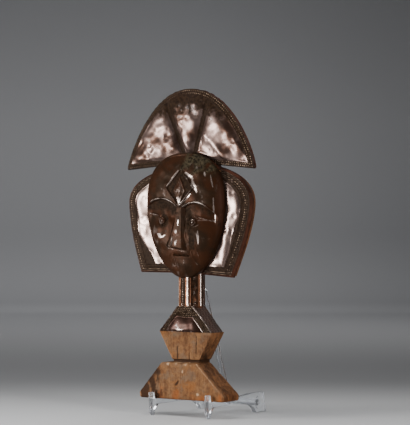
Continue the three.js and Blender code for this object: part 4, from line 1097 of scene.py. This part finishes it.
def bare_wood():
    """Dry hardwood: mottled orange-brown, pale worn edges, dark sides and backs, pores, checks and dirt."""
    material, board, shader = new_material("bare carved wood")
    place = board.place()
    grain = use(board, GRAIN, Place=place)
    fibre = grain["Fibre"]
    worn, aged, side, grime, pale, orange = (board.mark(key) for key in WOOD_MASKS)
    mottle = board.noise(place, 150.0, 6.0, 0.68, 0.4)
    drift = board.ramp(board.blend(0.5, mottle, fibre), 0.36, 0.64)
    colour = board.mix(drift, (0.072, 0.03, 0.0125), (0.185, 0.09, 0.038))
    warm = board.ramp(board.noise(place, 30.0, 4.0, 0.6, 0.6), 0.46, 0.7)
    greyed = board.ramp(board.noise(place, 52.0, 5.0, 0.65, 0.3), 0.48, 0.66)
    streak = board.mix(board.ramp(fibre, 0.4, 0.62), (0.045, 0.019, 0.009), (0.19, 0.08, 0.032))
    layers = (
        (warm, 0.6, (0.2, 0.074, 0.02)),
        (greyed, 0.6, (0.11, 0.078, 0.052)),
        (patches_of_wear_dirt_and_painted_light(board, place, 90.0, orange, 0.56, 1.05), 0.5, (0.25, 0.064, 0.011)),
        (patches_of_wear_dirt_and_painted_light(board, place, 140.0, pale, 0.64, 0.92), 0.8, (0.38, 0.25, 0.15)),
        (patches_of_wear_dirt_and_painted_light(board, place, 120.0, worn, 0.7, 0.95), 0.5, (0.27, 0.14, 0.066)),
        (patches_of_wear_dirt_and_painted_light(board, place, 60.0, side, 0.7, 0.98), 0.85, streak),
        (patches_of_wear_dirt_and_painted_light(board, place, 80.0, grime, 0.6, 0.85), 0.93, (0.026, 0.0115, 0.0055)),
        (board.ramp(board.noise(place, 420.0, 3.0), 0.6, 0.68), 0.35, (0.05, 0.02, 0.01)),
    )
    for mask, strength, paint in layers:
        colour = board.over(mask, strength, colour, paint)
    old = board.mix(board.ramp(fibre, 0.35, 0.75), (0.035, 0.012, 0.007), (0.12, 0.042, 0.02))
    gaps = board.most(grain["Crack"], board.times(grain["Pore"], 0.35))
    colour = board.mix(gaps, board.mix(aged, colour, old), (0.02, 0.01, 0.006))
    roughness = board.blend(fibre, 0.8, 0.6)
    look(board, shader, Base_Color=colour, Roughness=roughness, Specular_IOR_Level=0.05)
    relief = board.math("SUBTRACT", board.blend(0.5, fibre, mottle), board.times(gaps, 0.9))
    raised(board, shader, relief, 0.0007)
    return material


def clear_plastic():
    """Clear moulded plastic, faintly blue, with a faint waviness."""
    material, board, shader = new_material("clear moulded plastic")
    look(board, shader, Base_Color=(0.95, 0.97, 1.0), Roughness=0.03, IOR=1.42, Transmission_Weight=0.95)
    raised(board, shader, board.noise(board.place(), 70.0, 2.0), 0.0002)
    return material


# The pieces

crest_copper = copper("crest", BROWN_SKIN, DEEP_SKIN, 95.0, 0.0001, 3.4, 0.34, 0.8, 0.15, spots=0.25)
wing_copper = copper("wings", (0.17, 0.12, 0.1), BROWN_SKIN, 110.0, 0.0001, 3.4, 0.28, 0.75, 0.2)
face_copper = copper(
    "face", (0.029, 0.0108, 0.0048), (0.017, 0.0092, 0.005), 120.0, 0.0003, 2.2, 0.4, 0.24, soft=0.5
)
neck_copper = copper("neck", (0.105, 0.044, 0.024), (0.075, 0.032, 0.017), 140.0, 0.0002, 2.6, 0.24, 0.5)
shoulder_copper = copper(
    "shoulder", (0.032, 0.016, 0.012), (0.02, 0.0105, 0.0075), 110.0, 0.0002, 2.6, 0.27, 0.35
)
clear = clear_plastic()

made("beaten_crest", crest_sheet_shape(), crest_copper, "crest_sheet")
made("beaten_left_wing", wing_sheet_shape(-1), wing_copper, "left_wing_sheet")
made("beaten_right_wing", wing_sheet_shape(1), wing_copper, "right_wing_sheet")
made("beaten_face", face_sheet_shape(), face_copper, "face_sheet", 60)
made("beaten_neck", neck_sheet_shape(), neck_copper, "neck_sheet", 50)
made("beaten_shoulder", shoulder_sheet_shape(), shoulder_copper, "shoulder_sheet")
cores = [neck_core_shape(), head_core_shape(), wing_core_shape(), crest_core_shape()]
made("carved_figure", joined([foot_shape(), lozenge_shape(), *cores]), bare_wood(), "wooden_figure")


def rounded_easel():
    """The easel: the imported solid's own form, with its flat faces joined and its edges rounded."""
    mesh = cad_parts["clear_easel"].data.copy()
    work = bmesh.new()
    work.from_mesh(mesh)
    bmesh.ops.remove_doubles(work, verts=work.verts, dist=WELD)
    bmesh.ops.dissolve_limit(work, angle_limit=math.radians(2), verts=work.verts, edges=work.edges)
    work.to_mesh(mesh)
    work.free()
    mesh.materials.clear()
    mesh.materials.append(clear)
    piece = bpy.data.objects.new("moulded_easel", mesh)
    bpy.context.scene.collection.objects.link(piece)
    bevel = piece.modifiers.new("soft edges", "BEVEL")
    bevel.width, bevel.segments, bevel.limit_method = 0.0006, 2, "ANGLE"
    bevel.angle_limit = math.radians(35)
    bevel.use_clamp_overlap = True
    mesh.shade_smooth()
    mesh.set_sharp_from_angle(angle=math.radians(30))
    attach(piece, "root")
    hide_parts("clear_easel")


rounded_easel()


# The room: a pale floor that sweeps up into a grey backdrop, soft lights and the camera

VIEW_TURN = math.radians(35)
VIEW_DISTANCE, AIM_HEIGHT, AIM_ASIDE, CAMERA_LIFT = 3.1, 0.3033, 0.0227, 0.0097
FLOOR_WIDTH = 9
WALL_PLACE, WALL_HEIGHT, BEND_RADIUS = 3.5, 4.5, 0.6
RIGHT_WAY = np.array([math.cos(VIEW_TURN), math.sin(VIEW_TURN), 0])
VIEW_WAY = np.array([-math.sin(VIEW_TURN), math.cos(VIEW_TURN), 0])
middle = Vector((0, FIGURE_Y * MM, 0.3))


def sweep():
    """A floor that turns up into a wall: a straight run, a quarter circle and a straight rise."""
    bend = np.linspace(0, np.pi / 2, 24)
    start = WALL_PLACE - BEND_RADIUS
    run = np.concatenate([[-3.4, 0.3, 1.5], start + BEND_RADIUS * np.sin(bend), [WALL_PLACE]])
    up = np.concatenate([[0, 0, 0], BEND_RADIUS - BEND_RADIUS * np.cos(bend), [WALL_HEIGHT]])
    wide = np.array([-FLOOR_WIDTH / 2, FLOOR_WIDTH / 2])
    flat = run[:, None, None] * VIEW_WAY + wide[None, :, None] * RIGHT_WAY
    flat[..., 1] += FIGURE_Y * MM
    flat[..., 2] = up[:, None]
    faces = [(2 * i, 2 * i + 1, 2 * i + 3, 2 * i + 2) for i in range(len(run) - 1)]
    mesh = bpy.data.meshes.new("sweep")
    mesh.from_pydata(flat.reshape(-1, 3).tolist(), [], faces)
    mesh.shade_smooth()
    material, board, shader = new_material("pale floor and grey backdrop")
    place = board.place()
    height = board.add("ShaderNodeSeparateXYZ", None, Vector=place).outputs["Z"]

    def along(way):
        settings = {"operation": "DOT_PRODUCT"}
        return board.add("ShaderNodeVectorMath", settings, i0=place, i1=tuple(way)).outputs["Value"]

    ahead, aside = along(VIEW_WAY), along(RIGHT_WAY)
    # Painted light and shade on the stage: the floor's colour falls and rises again with distance, the
    # backdrop darkens with height, and the right side is darker
    far = board.mix(board.ramp(ahead, 0.75, 2.9), (0.17, 0.17, 0.173), (0.72, 0.72, 0.73))
    foot = board.mix(board.ramp(height, 0.0, 0.03), far, (0.54, 0.54, 0.55))
    low = board.mix(board.ramp(height, 0.0, 0.25), foot, (0.375, 0.375, 0.383))
    wall = board.mix(board.ramp(height, 0.2, 1.3), low, (0.185, 0.186, 0.192))
    grey = board.mix(board.ramp(ahead, -0.3, 0.64), (0.66, 0.66, 0.66), wall)
    shaded = board.mix(board.ramp(aside, -0.2, 0.9), grey, board.mix(0.35, grey, (0, 0, 0)))
    look(board, shader, Base_Color=shaded, Roughness=0.6)
    mesh.materials.append(material)
    stage = bpy.data.objects.new("sweep", mesh)
    bpy.context.scene.collection.objects.link(stage)


def soft_light(name, place, size, power):
    """An oblong area light at a place, turned to the figure's middle."""
    light = bpy.data.lights.new(name, "AREA")
    light.shape, light.size, light.size_y = "RECTANGLE", size[0], size[1]
    light.energy = power
    lamp = bpy.data.objects.new(name, light)
    lamp.location = place
    lamp.rotation_euler = (middle - Vector(place)).to_track_quat("-Z", "Y").to_euler()
    bpy.context.scene.collection.objects.link(lamp)


sweep()
soft_light("window", (-1.15, -1.45, 0.285), (0.55, 0.43), 54)
soft_light("rear fill", (0.5, 2.3, 1.3), (0.9, 0.9), 14)
soft_light("ceiling", (-0.35, -0.4, 1.9), (1.1, 1.1), 24)
soft_light("right strip", (1.5, -0.5, 0.5), (0.25, 1.0), 18)

world = bpy.data.worlds.new("room")
world.use_nodes = True
world.node_tree.nodes["Background"].inputs["Color"].default_value = (0.5, 0.52, 0.56, 1)
world.node_tree.nodes["Background"].inputs["Strength"].default_value = 0.25
bpy.context.scene.world = world

lens = bpy.data.cameras.new("camera")
lens.sensor_fit, lens.sensor_height, lens.lens = "VERTICAL", 36, 176
lens.clip_start, lens.clip_end = 0.1, 30
camera = bpy.data.objects.new("camera", lens)
aim = Vector((0, FIGURE_Y * MM, AIM_HEIGHT)) + AIM_ASIDE * Vector(RIGHT_WAY)
camera.location = aim - VIEW_DISTANCE * Vector(VIEW_WAY) + Vector((0, 0, CAMERA_LIFT))
camera.rotation_euler = (aim - camera.location).to_track_quat("-Z", "Y").to_euler()
bpy.context.scene.collection.objects.link(camera)
bpy.context.scene.camera = camera
